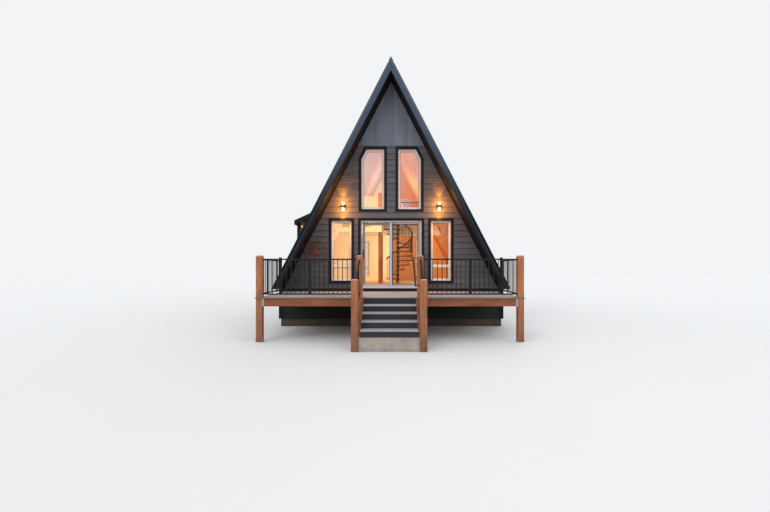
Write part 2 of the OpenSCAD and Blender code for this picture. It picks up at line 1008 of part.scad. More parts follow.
module loft_walkway() {
    z_low = loft_z - loft_t;
    color("burlywood")
        along_y(well_y, well_w)
            polygon([[-inner_x(z_low), z_low], [-well_x, z_low],
                [-well_x, loft_z], [-inner_x(loft_z), loft_z]]);
}

beam_top = loft_z - loft_t;
beam_bottom = beam_top - beam_h;

module loft_beams() {
    color("peru") {
        along_y(well_back, room_post)
            polygon([[-inner_x(beam_bottom), beam_bottom], [inner_x(beam_bottom), beam_bottom],
                [inner_x(beam_top), beam_top], [-inner_x(beam_top), beam_top]]);
        along_y(well_y, room_post)
            polygon([[-inner_x(beam_bottom), beam_bottom], [-well_x, beam_bottom],
                [-well_x, beam_top], [-inner_x(beam_top), beam_top]]);
    }
}

module loft_posts() {
    low_x = -well_x - room_post;
    color("peru") {
        block([low_x, well_y, floor_z], [-well_x, well_y + room_post, beam_bottom]);
        block([low_x, well_y, loft_z], [-well_x, well_y + room_post, loft_z + newel_h]);
        block([low_x, well_back, floor_z], [-well_x, well_back + room_post, beam_bottom]);
        block([far_post_x, well_back, floor_z],
            [far_post_x + room_post, well_back + room_post, beam_bottom]);
    }
}

// A panel of upright bars between x_low and x_high, at y
module bar_panel(x_low, x_high, y, z_low, height, foot) {
    span = x_high - x_low;
    count = floor(span / bar_pitch);
    step = span / count;
    mid = y + (rail_w - bar_w) / 2;
    block([x_low, y, z_low + height - rail_w], [x_high, y + rail_w, z_low + height]);
    block([x_low, y, z_low + foot], [x_high, y + rail_w, z_low + foot + rail_w]);
    for (i = [1:count - 1])
        block([x_low + i * step - bar_w / 2, mid, z_low + foot + rail_w / 2],
            [x_low + i * step + bar_w / 2, mid + bar_w, z_low + height - rail_w / 2]);
}

module guard_run(x_low, x_high, y) {
    bar_panel(x_low, x_high, y, loft_z, guard_h, low_rail_z);
    for (x = [x_low, x_high - rail_w])
        block([x, y, loft_z], [x + rail_w, y + rail_w, loft_z + guard_h]);
}

module loft_guard() {
    reach = inner_x(loft_z + guard_h) - rail_w;
    color("#202020") guard_run(-well_x + rail_w, reach, well_back + rail_w);
}

module loft_half_wall() {
    top = loft_z + guard_h;
    end_x = well_x + room_post;
    color("wheat")
        along_y(well_y, half_wall_t)
            polygon([[-inner_x(loft_z), loft_z], [-end_x, loft_z], [-end_x, top], [-inner_x(top), top]]);
}

// Spiral stair

module at_spiral(z) {
    translate([spiral_x, front_y + spiral_y, z]) children();
}

module sector(radius, from, to) {
    steps = 4;
    intersection() {
        circle(r = radius);
        polygon(concat([[0, 0]], [for (i = [0:steps]) let (a = from + (to - from) * i / steps)
            [1.2 * radius * cos(a), 1.2 * radius * sin(a)]]));
    }
}

module spiral_pole() {
    color("#202020")
        at_spiral(floor_z) {
            cylinder(r = pole_r, h = loft_h + guard_h);
            cylinder(r = pole_plate_r, h = pole_plate_t);
        }
}

// A tread, and the hub that carries it on the pole
module spiral_step(from, to) {
    difference() {
        union() {
            translate([0, 0, -spiral_tread_t])
                linear_extrude(spiral_tread_t)
                    sector(spiral_r, from, to);
            translate([0, 0, -hub_h]) cylinder(r = hub_r, h = hub_h);
        }
        cylinder(r = pole_r, h = 3 * hub_h, center = true);
    }
}

module spiral_treads() {
    color("#202020")
        for (i = [1:spiral_risers - 1])
            at_spiral(floor_z + i * spiral_rise)
                spiral_step(first_turn + (i - 1) * tread_turn, first_turn + i * tread_turn);
    color("#202020")
        at_spiral(loft_z)
            spiral_step(last_turn, landing_turn);
}

// Rings along the helix over the treads, then tubes between them
function rail_ring(t) =
    let (turn = first_turn + t * tread_turn, z = floor_z + (t + 0.5) * spiral_rise + spiral_rail_h)
    [for (k = [0:7]) let (a = 45 * k, r = rail_turn + spiral_rail_r * cos(a))
        [spiral_x + r * cos(turn), front_y + spiral_y + r * sin(turn), z + spiral_rail_r * sin(a)]];

module helix_tube(t_end, per_step) {
    rings = floor(t_end * per_step);
    points = [for (i = [0:rings]) each rail_ring(i / per_step)];
    sides = [for (i = [0:rings - 1]) for (k = [0:7])
        [8 * i + k, 8 * i + (k + 1) % 8, 8 * i + 8 + (k + 1) % 8, 8 * i + 8 + k]];
    polyhedron(points, concat([[7, 6, 5, 4, 3, 2, 1, 0]], sides,
        [[for (k = [0:7]) 8 * rings + k]]));
}

module spiral_railing() {
    color("#202020") {
        for (i = [0:spiral_risers - 2]) {
            for (k = [0:bars_per_tread - 1]) {
                share = (k + 0.5) / bars_per_tread;
                turn = first_turn + (i + share) * tread_turn;
                at_spiral(floor_z + (i + 1) * spiral_rise)
                    translate([rail_turn * cos(turn), rail_turn * sin(turn), 0])
                        cylinder(r = spiral_bar_r, h = spiral_rail_h + (share - 0.5) * spiral_rise);
            }
        }
        helix_tube(spiral_risers - 1, 4);
    }
}

// Deck

module post_places() {
    for (x = [-post_x, -stair_post_x, stair_post_x, post_x])
        translate([x, front_y + rim_y + post_w / 2, 0])
            children();
}

module post_square(side) {
    translate([-side / 2, -side / 2]) square(side);
}

module deck_surface() {
    color("darkgray")
        difference() {
            block([-deck_w / 2, -deck_d, joist_top], [deck_w / 2, 0, deck_h]);
            post_places()
                translate([0, 0, joist_top - 1])
                    linear_extrude(board_t + 2)
                        post_square(post_w);
        }
}

module deck_rims() {
    low = joist_top - joist_h;
    side_out = post_x + post_w / 2;
    color("peru") {
        both_sides() {
            block([stair_post_x + post_w / 2, rim_y, low],
                [post_x - post_w / 2, rim_y + joist_t, joist_top]);
            block([side_out - joist_t, rim_y + post_w, low], [side_out, 0, joist_top]);
        }
        block([-stair_post_x + post_w / 2, rim_y + riser_t, low],
            [stair_post_x - post_w / 2, rim_y + riser_t + joist_t, joist_top]);
    }
}

module deck_joists() {
    low = joist_top - joist_h;
    reach = post_x - post_w / 2;
    count = floor((reach - joist_t) / joist_pitch);
    color("peru") {
        block([-reach, -joist_t, low], [reach, 0, joist_top]);
        for (i = [-count:count])
            block([i * joist_pitch - joist_t / 2, joist_front(abs(i) * joist_pitch) + hanger_gap, low],
                [i * joist_pitch + joist_t / 2, -joist_t - hanger_gap, joist_top]);
    }
}

// Back of the rim or the stair post that a joist at x meets
function joist_front(x) =
    x < stair_post_x - (post_w + joist_t) / 2 ? rim_y + riser_t + joist_t
        : x < stair_post_x + (post_w + joist_t) / 2 ? rim_y + post_w
        : rim_y + joist_t;

module timber_post(top) {
    translate([0, 0, shoe_t]) linear_extrude(top - post_chamfer - shoe_t) post_square(post_w);
    translate([0, 0, top - post_chamfer])
        linear_extrude(post_chamfer, scale = (post_w - 2 * post_chamfer) / post_w)
            post_square(post_w);
}

module low_post_places() {
    for (x = [-stair_post_x, stair_post_x])
        translate([x, front_y + low_post_y, 0])
            children();
}

module timber_posts() {
    color("peru") {
        post_places() timber_post(deck_h + post_h);
        low_post_places() timber_post(foot_z + low_post_h);
    }
}

// A steel shoe under each post, and a hanger at each outer end of the rims
module post_steel() {
    color("silver") {
        post_places() post_shoe();
        low_post_places() post_shoe();
        both_sides() rim_hanger();
    }
}

module rim_hanger() {
    rim_end = post_x - post_w / 2;
    low = joist_top - joist_h;
    difference() {
        block([rim_end - hanger_w, rim_y - steel_t, low - steel_t],
            [rim_end, rim_y + joist_t + steel_t, joist_top - steel_t]);
        block([rim_end - hanger_w - 1, rim_y, low], [rim_end + 1, rim_y + joist_t, joist_top]);
    }
}

module post_shoe() {
    half = post_w / 2;
    difference() {
        translate([-half - steel_t, -half, 0]) cube([post_w + 2 * steel_t, post_w, shoe_h]);
        translate([-half, -half - 1, shoe_t]) cube([post_w, post_w + 2, shoe_h]);
    }
}

// Railings

module front_railing() {
    y = rim_y + (post_w - rail_w) / 2;
    low = stair_post_x + post_w / 2;
    high = post_x - post_w / 2;
    mid = (low + high) / 2;
    bar_panel(low, high, y, deck_h, rail_h, low_rail_z);
    block([mid - metal_post_w / 2, y - (metal_post_w - rail_w) / 2, deck_h + low_rail_z],
        [mid + metal_post_w / 2, y + (metal_post_w + rail_w) / 2, deck_h + rail_h]);
}

module side_railing() {
    translate([post_x + rail_w / 2, front_y + rim_y + post_w, 0])
        rotate([0, 0, 90])
            translate([0, -front_y, 0]) {
                bar_panel(0, side_railing_l, 0, deck_h, rail_h, low_rail_z);
                end_post(0, deck_h, deck_h + metal_post_h);
                end_post(plate_reach, deck_h, deck_h + post_plate_t);
                end_post(plate_reach / 4, deck_h + metal_post_h - post_plate_t, deck_h + metal_post_h);
            }
}

// The end post's outline grown by a margin, between two heights
module end_post(margin, z_low, z_high) {
    side = (metal_post_w - rail_w) / 2 + margin;
    block([side_railing_l - margin, -side, z_low],
        [side_railing_l + metal_post_w + margin, rail_w + side, z_high]);
}

module deck_railings() {
    color("#202020") both_sides() {
        front_railing();
        side_railing();
    }
}

// A bar with upright ends that follows the stair's pitch from y_top to y_low
module pitched_bar(y_top, y_low, z_top, height) {
    drop = (y_top - y_low) * pitch;
    polygon([[y_top, z_top], [y_low, z_top - drop], [y_low, z_top - drop - height], [y_top, z_top - height]]);
}

module stair_railing() {
    y_top = rim_y;
    y_low = low_post_y + post_w / 2;
    top = deck_h + rail_h - stair_rail_drop;
    low = deck_h + stair_rail_low;
    count = floor((y_top - y_low) / bar_pitch);
    step = (y_top - y_low) / count;
    along_x(stair_post_x - rail_w / 2, rail_w) {
        pitched_bar(y_top, y_low, top, rail_w);
        pitched_bar(y_top, y_low, low, rail_w);
    }
    along_x(stair_post_x - bar_w / 2, bar_w)
        for (i = [1:count - 1])
            translate([y_top - i * step - bar_w / 2, low - i * step * pitch - rail_w / 2])
                square([bar_w, top - low]);
}

module stair_railings() {
    color("#202020") both_sides() stair_railing();
}

module stair_handrail() {
    x = stair_post_x - post_w / 2 - grip_gap;
    y_top = rim_y + post_w / 2;
    length = y_top - low_post_y;
    z_top = deck_h + rail_h + grip_lift;
    half = bar_w / 2;
    lean = 90 + atan(pitch);
    color("#202020") {
        translate([x, front_y + y_top, z_top])
            rotate([lean, 0, 0])
                cylinder(r = grip_r, h = length / sin(lean));
        for (y = [y_top, low_post_y])
            block([x, y - half, z_top + (y - y_top) * pitch - half],
                [x + grip_gap, y + half, z_top + (y - y_top) * pitch + half]);
    }
}

// Front stair

module stringer_profile() {
    z_line = joist_top + (footing_y - rim_y) * pitch;
    polygon([[rim_y, joist_top], [footing_y, z_line], [footing_y, foot_z],
        [rim_y - (joist_top - stringer_h - foot_z) / pitch, foot_z], [rim_y, joist_top - stringer_h]]);
}

module stair_stringers() {
    color("peru")
        both_sides()
            along_x(stair_w / 2, joist_t)
                stringer_profile();
}

module stair_treads() {
    color("gray")
        for (i = [1:risers - 1])
            block([-stair_w / 2, rim_y - i * tread_d - nosing, deck_h - i * riser_h - tread_t],
                [stair_w / 2, rim_y - (i - 1) * tread_d, deck_h - i * riser_h]);
}

module stair_risers() {
    color("slategray")
        for (i = [0:risers - 1])
            block([-stair_w / 2, rim_y - i * tread_d, max(foot_z, deck_h - (i + 1) * riser_h - tread_t)],
                [stair_w / 2, rim_y - i * tread_d + riser_t,
                    i == 0 ? joist_top : deck_h - i * riser_h - tread_t]);
}

module stair_footing() {
    color("tan")
        block([-stair_post_x + post_w / 2 + steel_t, footing_y, 0],
            [stair_post_x - post_w / 2 - steel_t, footing_y + footing_d, foot_z]);
}

foundation_ends();
foundation_sides();
skirt_ends();
skirt_sides();
skirt_corners();
main_floor();
front_wall_left();
front_wall_right();
front_wall_upper();
rear_wall();
gable_panels();
frieze_boards();
roof_right();
roof_left_ends();
roof_left_upper();
ridge_cap();
rake_fascia_left();
rake_fascia_right();
dormer_roof();
dormer_cheeks();
dormer_side_wall();
opening_trims();
side_window_frames();
side_window_glass();
upper_window_frames();
upper_window_glass();
door_frame();
fixed_sash();
fixed_glass();
sliding_sash();
sliding_glass();
door_handle();
screen_frame();
screen_mesh();
wall_lights();
wall_ornament();
loft_floor();
loft_walkway();
loft_beams();
loft_posts();
loft_guard();
loft_half_wall();
spiral_pole();
spiral_treads();
spiral_railing();
deck_surface();
deck_rims();
deck_joists();
timber_posts();
post_steel();
deck_railings();
stair_railings();
stair_handrail();
stair_stringers();
stair_treads();
stair_risers();
stair_footing();
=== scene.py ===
"""A-frame cabin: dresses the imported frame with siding, roof seams, boards, window
profiles and lamps, and gives every surface its material."""
import math

import bpy
import numpy as np
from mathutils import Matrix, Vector


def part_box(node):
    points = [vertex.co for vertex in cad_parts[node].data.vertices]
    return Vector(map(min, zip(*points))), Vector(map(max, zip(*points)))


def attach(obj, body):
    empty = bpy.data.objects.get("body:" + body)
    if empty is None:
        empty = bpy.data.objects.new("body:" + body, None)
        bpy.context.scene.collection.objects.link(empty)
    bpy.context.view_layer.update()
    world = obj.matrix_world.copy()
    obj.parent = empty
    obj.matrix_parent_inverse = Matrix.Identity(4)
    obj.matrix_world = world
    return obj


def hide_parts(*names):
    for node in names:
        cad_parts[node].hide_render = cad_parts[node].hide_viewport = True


bl_info = {
    "name": "A-frame cabin",
    "version": (1, 0, 0),
    "blender": (4, 5, 0),
    "location": "3D View > Sidebar > Cabin",
    "description": "Makes the cabin's siding, roofing, boards, windows and materials",
    "category": "Object",
}

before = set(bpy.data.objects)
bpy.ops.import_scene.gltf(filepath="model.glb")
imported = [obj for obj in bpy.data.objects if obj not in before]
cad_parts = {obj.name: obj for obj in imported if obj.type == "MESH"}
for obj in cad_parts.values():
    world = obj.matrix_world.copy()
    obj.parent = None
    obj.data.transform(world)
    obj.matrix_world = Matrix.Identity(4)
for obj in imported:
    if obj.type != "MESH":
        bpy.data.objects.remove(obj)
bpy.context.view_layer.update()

# Sizes of the part's source that no box gives, in metres and degrees
FRAME_W = 0.066
WIN_X0 = 1.198
UPPER_W = 0.685
UPPER_IN = 0.3
DORMER_SLOPE = 0.467
BATTEN_PITCH = 0.426
WELL_X = 0.43
SPIRAL_TURN, SPIRAL_FIRST, SPIRAL_RAIL = 25, -138, 0.911


def edge(node, side, axis):
    """One coordinate of a node's box: side 0 is the low corner and 1 the high one."""
    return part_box(node)[side]["xyz".index(axis)]


# Places that the frame gives, in metres
FRONT = edge("front_wall_upper", 0, "y")
REAR = edge("rear_wall", 1, "y")
FLOOR = edge("roof_right", 0, "z")
RIDGE = edge("roof_right", 1, "z")
EAVE = edge("roof_right", 1, "x")
RUN = EAVE / (RIDGE - FLOOR)
SLOPE = math.hypot(1, RUN)
ROOF_UPRIGHT = RIDGE - edge("rear_wall", 1, "z")
ROOF_FRONT = edge("roof_right", 0, "y")
ROOF_REAR = edge("roof_right", 1, "y")
SIDE = edge("main_floor", 1, "x")
CONCRETE = edge("foundation_ends", 1, "z")
CORNER_W = edge("skirt_corners", 1, "x") - SIDE
GABLE = edge("gable_panels", 0, "z")
DOOR_HALF = edge("door_frame", 1, "x")
DOOR_TOP = edge("door_frame", 1, "z")
WIN_SILL = edge("side_window_frames", 0, "z")
WIN_X1 = edge("side_window_glass", 1, "x") + FRAME_W
DORMER_X = edge("dormer_cheeks", 0, "x")
DORMER_Y0 = edge("dormer_cheeks", 0, "y")
DORMER_Y1 = edge("dormer_cheeks", 1, "y")
DECK = edge("deck_surface", 1, "z")
DECK_FRONT = edge("deck_surface", 0, "y")
LOFT = edge("loft_floor", 1, "z")
LOW_POST = DECK + 0.456
LAMP_X, LAMP_Z = 1.44, FLOOR + 2.45

# Height at which a course of siding starts
COURSE = DECK + 0.06
# The siding stops this far outside each opening, behind its trim
TRIM_IN = 0.04
# The photograph's width and the camera's focal length, in pixels
PICTURE_W, FOCAL = 770.0, 400.0
# How strongly the room's surfaces glow, for the lamps that are left out
GLOW = 0.22
# Of each end wall and of the dormer's wall: its origin, the way to the right as
# seen from outside, and the way inwards
ENDS = (((0.0, FRONT, 0.0), (1.0, 0.0, 0.0), (0.0, 1.0, 0.0)),
        ((0.0, REAR, 0.0), (-1.0, 0.0, 0.0), (0.0, -1.0, 0.0)))
DORMER_WALL = ((DORMER_X, (DORMER_Y0 + DORMER_Y1) / 2, 0.0), (0.0, -1.0, 0.0), (1.0, 0.0, 0.0))


def outer_x(z):
    """Half the roof's width at height z, over its outer faces."""
    return (RIDGE - z) * RUN


def inner_x(z):
    """Half the width under the roof at height z."""
    return (RIDGE - ROOF_UPRIGHT - z) * RUN


def paint(red, green, blue):
    """A colour written as 0 to 255 in sRGB, as the linear values that shaders take."""
    parts = [part / 255 for part in (red, green, blue)]
    return tuple(p / 12.92 if p < 0.04045 else ((p + 0.055) / 1.055) ** 2.4 for p in parts)


def size(name, description, value, low, high):
    """A length that a user may change."""
    return bpy.props.FloatProperty(
        name=name, description=description, default=value, min=low, max=high, unit="LENGTH")


class CabinSizes(bpy.types.PropertyGroup):
    """Sizes of the dressing, which a user may change before making the pieces again"""

    lap: size("Siding exposure", "Height of each siding course that shows", 0.178, 0.08, 0.3)
    lap_out: size("Siding butt", "How far the lower edge of a course stands out", 0.018, 0.004, 0.022)
    seam_pitch: size("Seam pitch", "Spacing of the roof's standing seams", 0.42, 0.2, 0.8)
    seam_rise: size("Seam rise", "Height of the roof's standing seams", 0.028, 0.01, 0.05)
    deck_board: size("Deck board", "Width of a deck board", 0.137, 0.08, 0.2)
    deck_gap: size("Deck gap", "Gap between two deck boards", 0.005, 0.002, 0.012)
    chamfer: size("Timber edge", "Width of the softened edges of sawn timber", 0.004, 0.001, 0.012)


def tint(name, description, *value):
    """A colour that a user may change, with its default in sRGB."""
    return bpy.props.FloatVectorProperty(
        name=name, description=description, default=paint(*value), size=3, min=0.0, max=1.0,
        subtype="COLOR")


class CabinColours(bpy.types.PropertyGroup):
    """Colours of the cabin's finishes"""

    siding: tint("Siding", "Paint of the lap siding", 94, 93, 96)
    gable: tint("Gable", "Paint of the board and batten panel", 112, 120, 134)
    trim: tint("Trim", "Paint of the trim boards", 23, 25, 32)
    fascia: tint("Fascia", "Paint of the rake fascias", 58, 67, 80)
    roof: tint("Roof", "Paint of the metal roof", 48, 52, 60)
    # The soffit's colour is darkened as painted shade
    soffit: tint("Soffit", "Stain of the soffit boards", 23, 17, 14)
    timber: tint("Timber", "Stain of the posts", 178, 112, 74)
    rim: tint("Rim", "Stain of the rims and joists", 146, 86, 52)
    # Darkened as painted shade, as under the deck at the front
    skirt: tint("Skirt", "Paint of the siding below the floor", 34, 34, 37)
    deck: tint("Deck", "Colour of the deck boards", 180, 176, 178)
    riser: tint("Riser", "Paint of the riser boards", 56, 58, 66)
    window: tint("Window", "Colour of the window profiles", 232, 222, 214)
    sash: tint("Sash", "Colour of the door's sashes", 172, 164, 166)
    metal: tint("Metal", "Powder coat of the railings", 26, 27, 30)
    cream: tint("Cream", "Paint of the room's left side", 247, 231, 184)
    rosy: tint("Rosy", "Paint of the left-hand vault", 210, 194, 188)
    pine: tint("Pine", "Oiled boards of the right-hand vault", 220, 136, 34)
    orange: tint("Orange pine", "Oiled boards of the right-hand wall", 160, 86, 8)
    floor: tint("Floor", "Oiled floor boards", 222, 164, 98)
    inner_post: tint("Inner posts", "Stain of the posts in the room", 176, 98, 22)
    concrete: tint("Concrete", "Cast concrete", 89, 79, 70)
    footing: tint("Footing", "Pale concrete under the stair", 178, 170, 158)
    spiral: tint("Spiral stair", "Brown enamel of the spiral stair", 70, 46, 34)
    grip: tint("Grip", "Stain of the spiral stair's grip", 52, 30, 22)
    rust: tint("Rust", "Rusted metal of the wall ornament", 118, 58, 40)
    lamp: tint("Lamp", "Light of the wall lights", 255, 158, 52)


# Shaders

def sum_of(operation, swapped=False):
    """A method that adds a Math node for a number and another value."""
    def method(self, other=0.0):
        first, second = (other, self) if swapped else (self, other)
        return self.shader.number("ShaderNodeMath", {"operation": operation}, {0: first, 1: second})
    return method


class Number:
    """A number in a shader. Sums on it add Math nodes."""

    def __init__(self, shader, socket):
        self.shader = shader
        self.socket = socket

    __add__ = sum_of("ADD")
    __radd__ = sum_of("ADD", True)
    __sub__ = sum_of("SUBTRACT")
    __rsub__ = sum_of("SUBTRACT", True)
    __mul__ = sum_of("MULTIPLY")
    __rmul__ = sum_of("MULTIPLY", True)
    __truediv__ = sum_of("DIVIDE")
    __gt__ = sum_of("GREATER_THAN")
    __lt__ = sum_of("LESS_THAN")
    __mod__ = sum_of("FLOORED_MODULO")
    __abs__ = sum_of("ABSOLUTE")
    whole = sum_of("FLOOR")
    most = sum_of("MAXIMUM")


class Shader:
    """The nodes of a material or of the world, which feed its one surface node."""

    def __init__(self, owner, surface):
        owner.use_nodes = True
        self.tree = owner.node_tree
        self.surface = next(n for n in self.tree.nodes if n.type == surface)

    def node(self, kind, settings, sockets):
        """A node of a kind, with its settings made first and then its sockets."""
        made = self.tree.nodes.new(kind)
        for key, value in settings.items():
            setattr(made, key, value)
        for key, value in sockets.items():
            self.set(made.inputs[key], value)
        return made

    def set(self, socket, value):
        """Links a socket to a number or socket, or gives it a value."""
        if isinstance(value, Number):
            value = value.socket
        if isinstance(value, bpy.types.NodeSocket):
            self.tree.links.new(value, socket)
        elif socket.type == "RGBA":
            socket.default_value = (*value[:3], 1.0)
        else:
            socket.default_value = value

    def number(self, kind, settings, sockets):
        """The first output of a new node, as a number."""
        return Number(self, self.node(kind, settings, sockets).outputs[0])

    def seen(self):
        """1 where the camera looks, straight on or by way of gloss or glass."""
        path = self.node("ShaderNodeLightPath", {}, {}).outputs
        ways = ("Camera", "Glossy", "Transmission")
        straight, gloss, glass = (Number(self, path["Is %s Ray" % way]) for way in ways)
        return straight.most(gloss).most(glass)


class Finish(Shader):
    """A material under construction, on a Principled surface."""

    def __init__(self, name, gloss=0.5, **uniform):
        self.material = bpy.data.materials.new(name)
        super().__init__(self.material, "BSDF_PRINCIPLED")
        for socket, value in dict(uniform, Specular_IOR_Level=gloss).items():
            self.surface.inputs[socket.replace("_", " ")].default_value = value

    def place(self, turn=(0.0, 0.0, 0.0)):
        """Object coordinates in metres, turned, as a vector and three numbers."""
        source = self.node("ShaderNodeTexCoord", {}, {}).outputs["Object"]
        if any(turn):
            source = self.node("ShaderNodeMapping", {}, {"Vector": source, "Rotation": turn}).outputs[0]
        return self.split(source)

    def grain(self):
        """The piece's own map: metres along each board and metres round it."""
        return self.split(self.node("ShaderNodeUVMap", {"uv_map": "grain"}, {}).outputs[0])

    def split(self, vector):
        """A vector, and its three parts as numbers."""
        parts = self.node("ShaderNodeSeparateXYZ", {}, {0: vector})
        return (vector, *(Number(self, parts.outputs[axis]) for axis in "XYZ"))

    def vector(self, x, y, z):
        """Three numbers as a vector."""
        return self.node("ShaderNodeCombineXYZ", {}, {0: x, 1: y, 2: z}).outputs[0]

    def noise(self, vector, scale, detail=3.0, roughness=0.55):
        """Soft noise from 0 to 1, scale waves to the metre."""
        return self.number("ShaderNodeTexNoise", {}, {
            "Vector": vector, "Scale": scale, "Detail": detail, "Roughness": roughness})

    def streaks(self, x, y, z, detail=3.0, roughness=0.55):
        """Noise on stretched coordinates."""
        return self.noise(self.vector(x, y, z), 1.0, detail, roughness)

    def cells(self, vector, scale):
        """Distance to the nearest of scattered points, scale of them to the metre."""
        return self.number("ShaderNodeTexVoronoi", {}, {"Vector": vector, "Scale": scale})

    def between(self, value, low, high):
        """0 below low and 1 above high, eased."""
        return self.number("ShaderNodeMapRange", {"interpolation_type": "SMOOTHSTEP"}, {
            0: value, 1: low, 2: high, 3: 0.0, 4: 1.0})

    def blend(self, share, first, second):
        """First colour where share is 0 and second where it is 1."""
        return self.node("ShaderNodeMix", {"data_type": "RGBA"}, {0: share, 6: first, 7: second}).outputs[2]

    def shade(self, colour, dark, light, share):
        """A colour from its dark to its light version, as a share says."""
        return self.blend(share, scaled(colour, dark), scaled(colour, light))

    def coat(self, colour, roughness, bump=None, distance=0.001, strength=0.6, **others):
        """Feeds the surface. The bump height is in metres times distance."""
        self.set(self.surface.inputs["Base Color"], colour)
        self.set(self.surface.inputs["Roughness"], roughness)
        if bump is not None:
            made = self.node("ShaderNodeBump", {}, {
                "Strength": strength, "Distance": distance, "Height": bump})
            self.set(self.surface.inputs["Normal"], made.outputs[0])
        for key, value in others.items():
            self.set(self.surface.inputs[key.replace("_", " ")], value)
        return self.material


def scaled(colour, by):
    """A colour times a factor, at most 1."""
    return tuple(min(1.0, part * by) for part in colour[:3])


def toward(colour, other, share):
    """A colour moved towards another by a share of the way."""
    return tuple(a + (b - a) * share for a, b in zip(colour[:3], other[:3]))


def colours():
    """The colours that a user may change."""
    return bpy.context.scene.cabin_colours


def brushed(f):
    """Paint on boards that carry the grain map: brush marks, tone and height."""
    _, along, across, _ = f.grain()
    fibres = f.noise(f.vector(along * 2.2, across * 60.0, 0.0), 3.0, 4.0, 0.6)
    brush = f.noise(f.vector(along * 0.7, across * 9.0, 3.0), 2.0, 3.0)
    tone = f.streaks(along * 0.16, 7.0, 0.0, 1.0)
    return brush, f.between(tone * 0.6 + brush * 0.4, 0.3, 0.7), fibres + brush * 0.4


def painted_board(name, colour, rough=0.55):
    """Paint on boards: brushed grain, chalking and grime."""
    f = Finish(name, 0.2)
    brush, share, height = brushed(f)
    return f.coat(f.shade(colour, 0.84, 1.14, share), rough + brush * 0.2, height, 0.0012, 0.5)


def siding_paint(name, colour):
    """Painted lap siding: a line of painted shade at the top of each course, under the next
    butt, a painted highlight along each course's lower edge, and painted shade low on the walls' left part."""
    f = Finish(name, 0.3)
    brush, share, height = brushed(f)
    _, x, _, z = f.place()
    up = ((z - COURSE) / bpy.context.scene.cabin_sizes.lap) % 1.0
    # Painted shade: a dark line under each butt
    shadow = f.between(up + brush * 0.02, 0.86, 0.95)
    # Painted highlight along the lower edge of each course
    dust_and_painted_light = 1.0 - f.between(up, 0.02, 0.07)
    # Painted shade low on the walls' left part
    low = (1.0 - f.between(z + brush * 0.2, DECK + 0.1, DECK + 2.3)) * (1.0 - f.between(x, 1.1, 1.9))
    coat = f.blend(shadow * 0.62, f.shade(colour, 0.84, 1.14, share), scaled(colour, 0.2))
    coat = f.blend(dust_and_painted_light * 0.25, coat, scaled(colour, 1.5))
    coat = f.blend(low * 0.5, coat, scaled(colour, 0.16))
    return f.coat(coat, 0.55 + brush * 0.2, height, 0.0012, 0.5)


def painted_solid(name, colour, rough=0.5):
    """Satin paint on a frame node: fine grain, a little dust and uneven sheen."""
    f = Finish(name, 0.14)
    vector, x, y, z = f.place()
    fine = f.noise(vector, 90.0, 4.0, 0.65)
    broad = f.noise(vector, 1.7)
    share = f.between(broad * 0.5 + f.streaks(x * 30.0, y * 30.0, z * 2.0) * 0.5, 0.34, 0.66)
    return f.coat(f.shade(colour, 0.86, 1.3, share), rough + fine * 0.16, fine, 0.0008, 0.4)


def stained_wood(f, colour, along, across, through):
    """Colour, roughness and height of stained sawn wood. Along runs with the
    fibres. Wide bands, fine fibres and a few knots vary the stain."""
    bend = f.streaks(along * 0.9, across * 4.0, through * 4.0, 2.0)
    rings = f.streaks(along * 0.55, across * 26.0 + bend * 3.0, through * 26.0, 3.0, 0.6)
    fibres = f.streaks(along * 5.0, across * 240.0, through * 240.0, 3.0, 0.6)
    tone = f.streaks(along * 1.3, across * 7.0, through * 7.0, 2.0)
    knots = f.cells(f.vector(along * 1.5, across * 8.0, through * 8.0), 1.0)
    knot = 1.0 - f.between(knots, 0.08, 0.28)
    share = f.between(rings * 0.35 + fibres * 0.15 + tone * 0.5, 0.34, 0.66)
    warm = f.shade(colour, 0.56, 1.3, share)
    warm = f.blend(knot * 0.75, warm, scaled(toward(colour, (0.05, 0.02, 0.01), 0.5), 0.5))
    return warm, 0.62 + fibres * 0.2, rings * 0.6 + fibres * 0.5 - knot * 0.3


def timber(name, colour, upper=1.0, turn=None):
    """Stained timber. Its fibres run along the grain map or, on a frame node,
    along the turned X. Above the loft's floor its tone is multiplied by upper, a painted light that makes a
    lit copy of the stain."""
    f = Finish(name)
    _, along, across, through = f.place(turn) if turn else f.grain()
    warm, rough, height = stained_wood(f, colour, along, across, through)
    if upper != 1.0:
        # Painted light: a lighter copy of the stain above the loft's floor
        warm = f.blend(f.place()[3] > LOFT, warm, f.shade(scaled(colour, upper), 0.8, 1.2, height))
    return f.coat(warm, rough, height, 0.0016, 0.6)


def post_timber(name, colour):
    """Timber of the deck's posts: tops weathered paler and feet darkened by damp."""
    f = Finish(name)
    _, along, across, through = f.grain()
    _, x, y, z = f.place()
    warm, rough, height = stained_wood(f, colour, along, across, through)
    patch = f.streaks(x * 20.0, y * 20.0, z * 6.0)
    top = DECK + 0.99
    pale = f.between(z + patch * 0.05, top - 0.012, top + 0.022)
    low = f.between(z + patch * 0.05, LOW_POST - 0.012, LOW_POST + 0.02) * (y < DECK_FRONT - 0.3)
    damp = 1.0 - f.between(z + patch * 0.3, 0.1, DECK + 0.3)
    warm = f.blend(damp * 0.5, warm, scaled(toward(colour, paint(110, 92, 78), 0.4), 0.42))
    warm = f.blend((pale + low) * 0.7, warm, paint(218, 180, 152))
    return f.coat(warm, rough, height, 0.0016, 0.6)


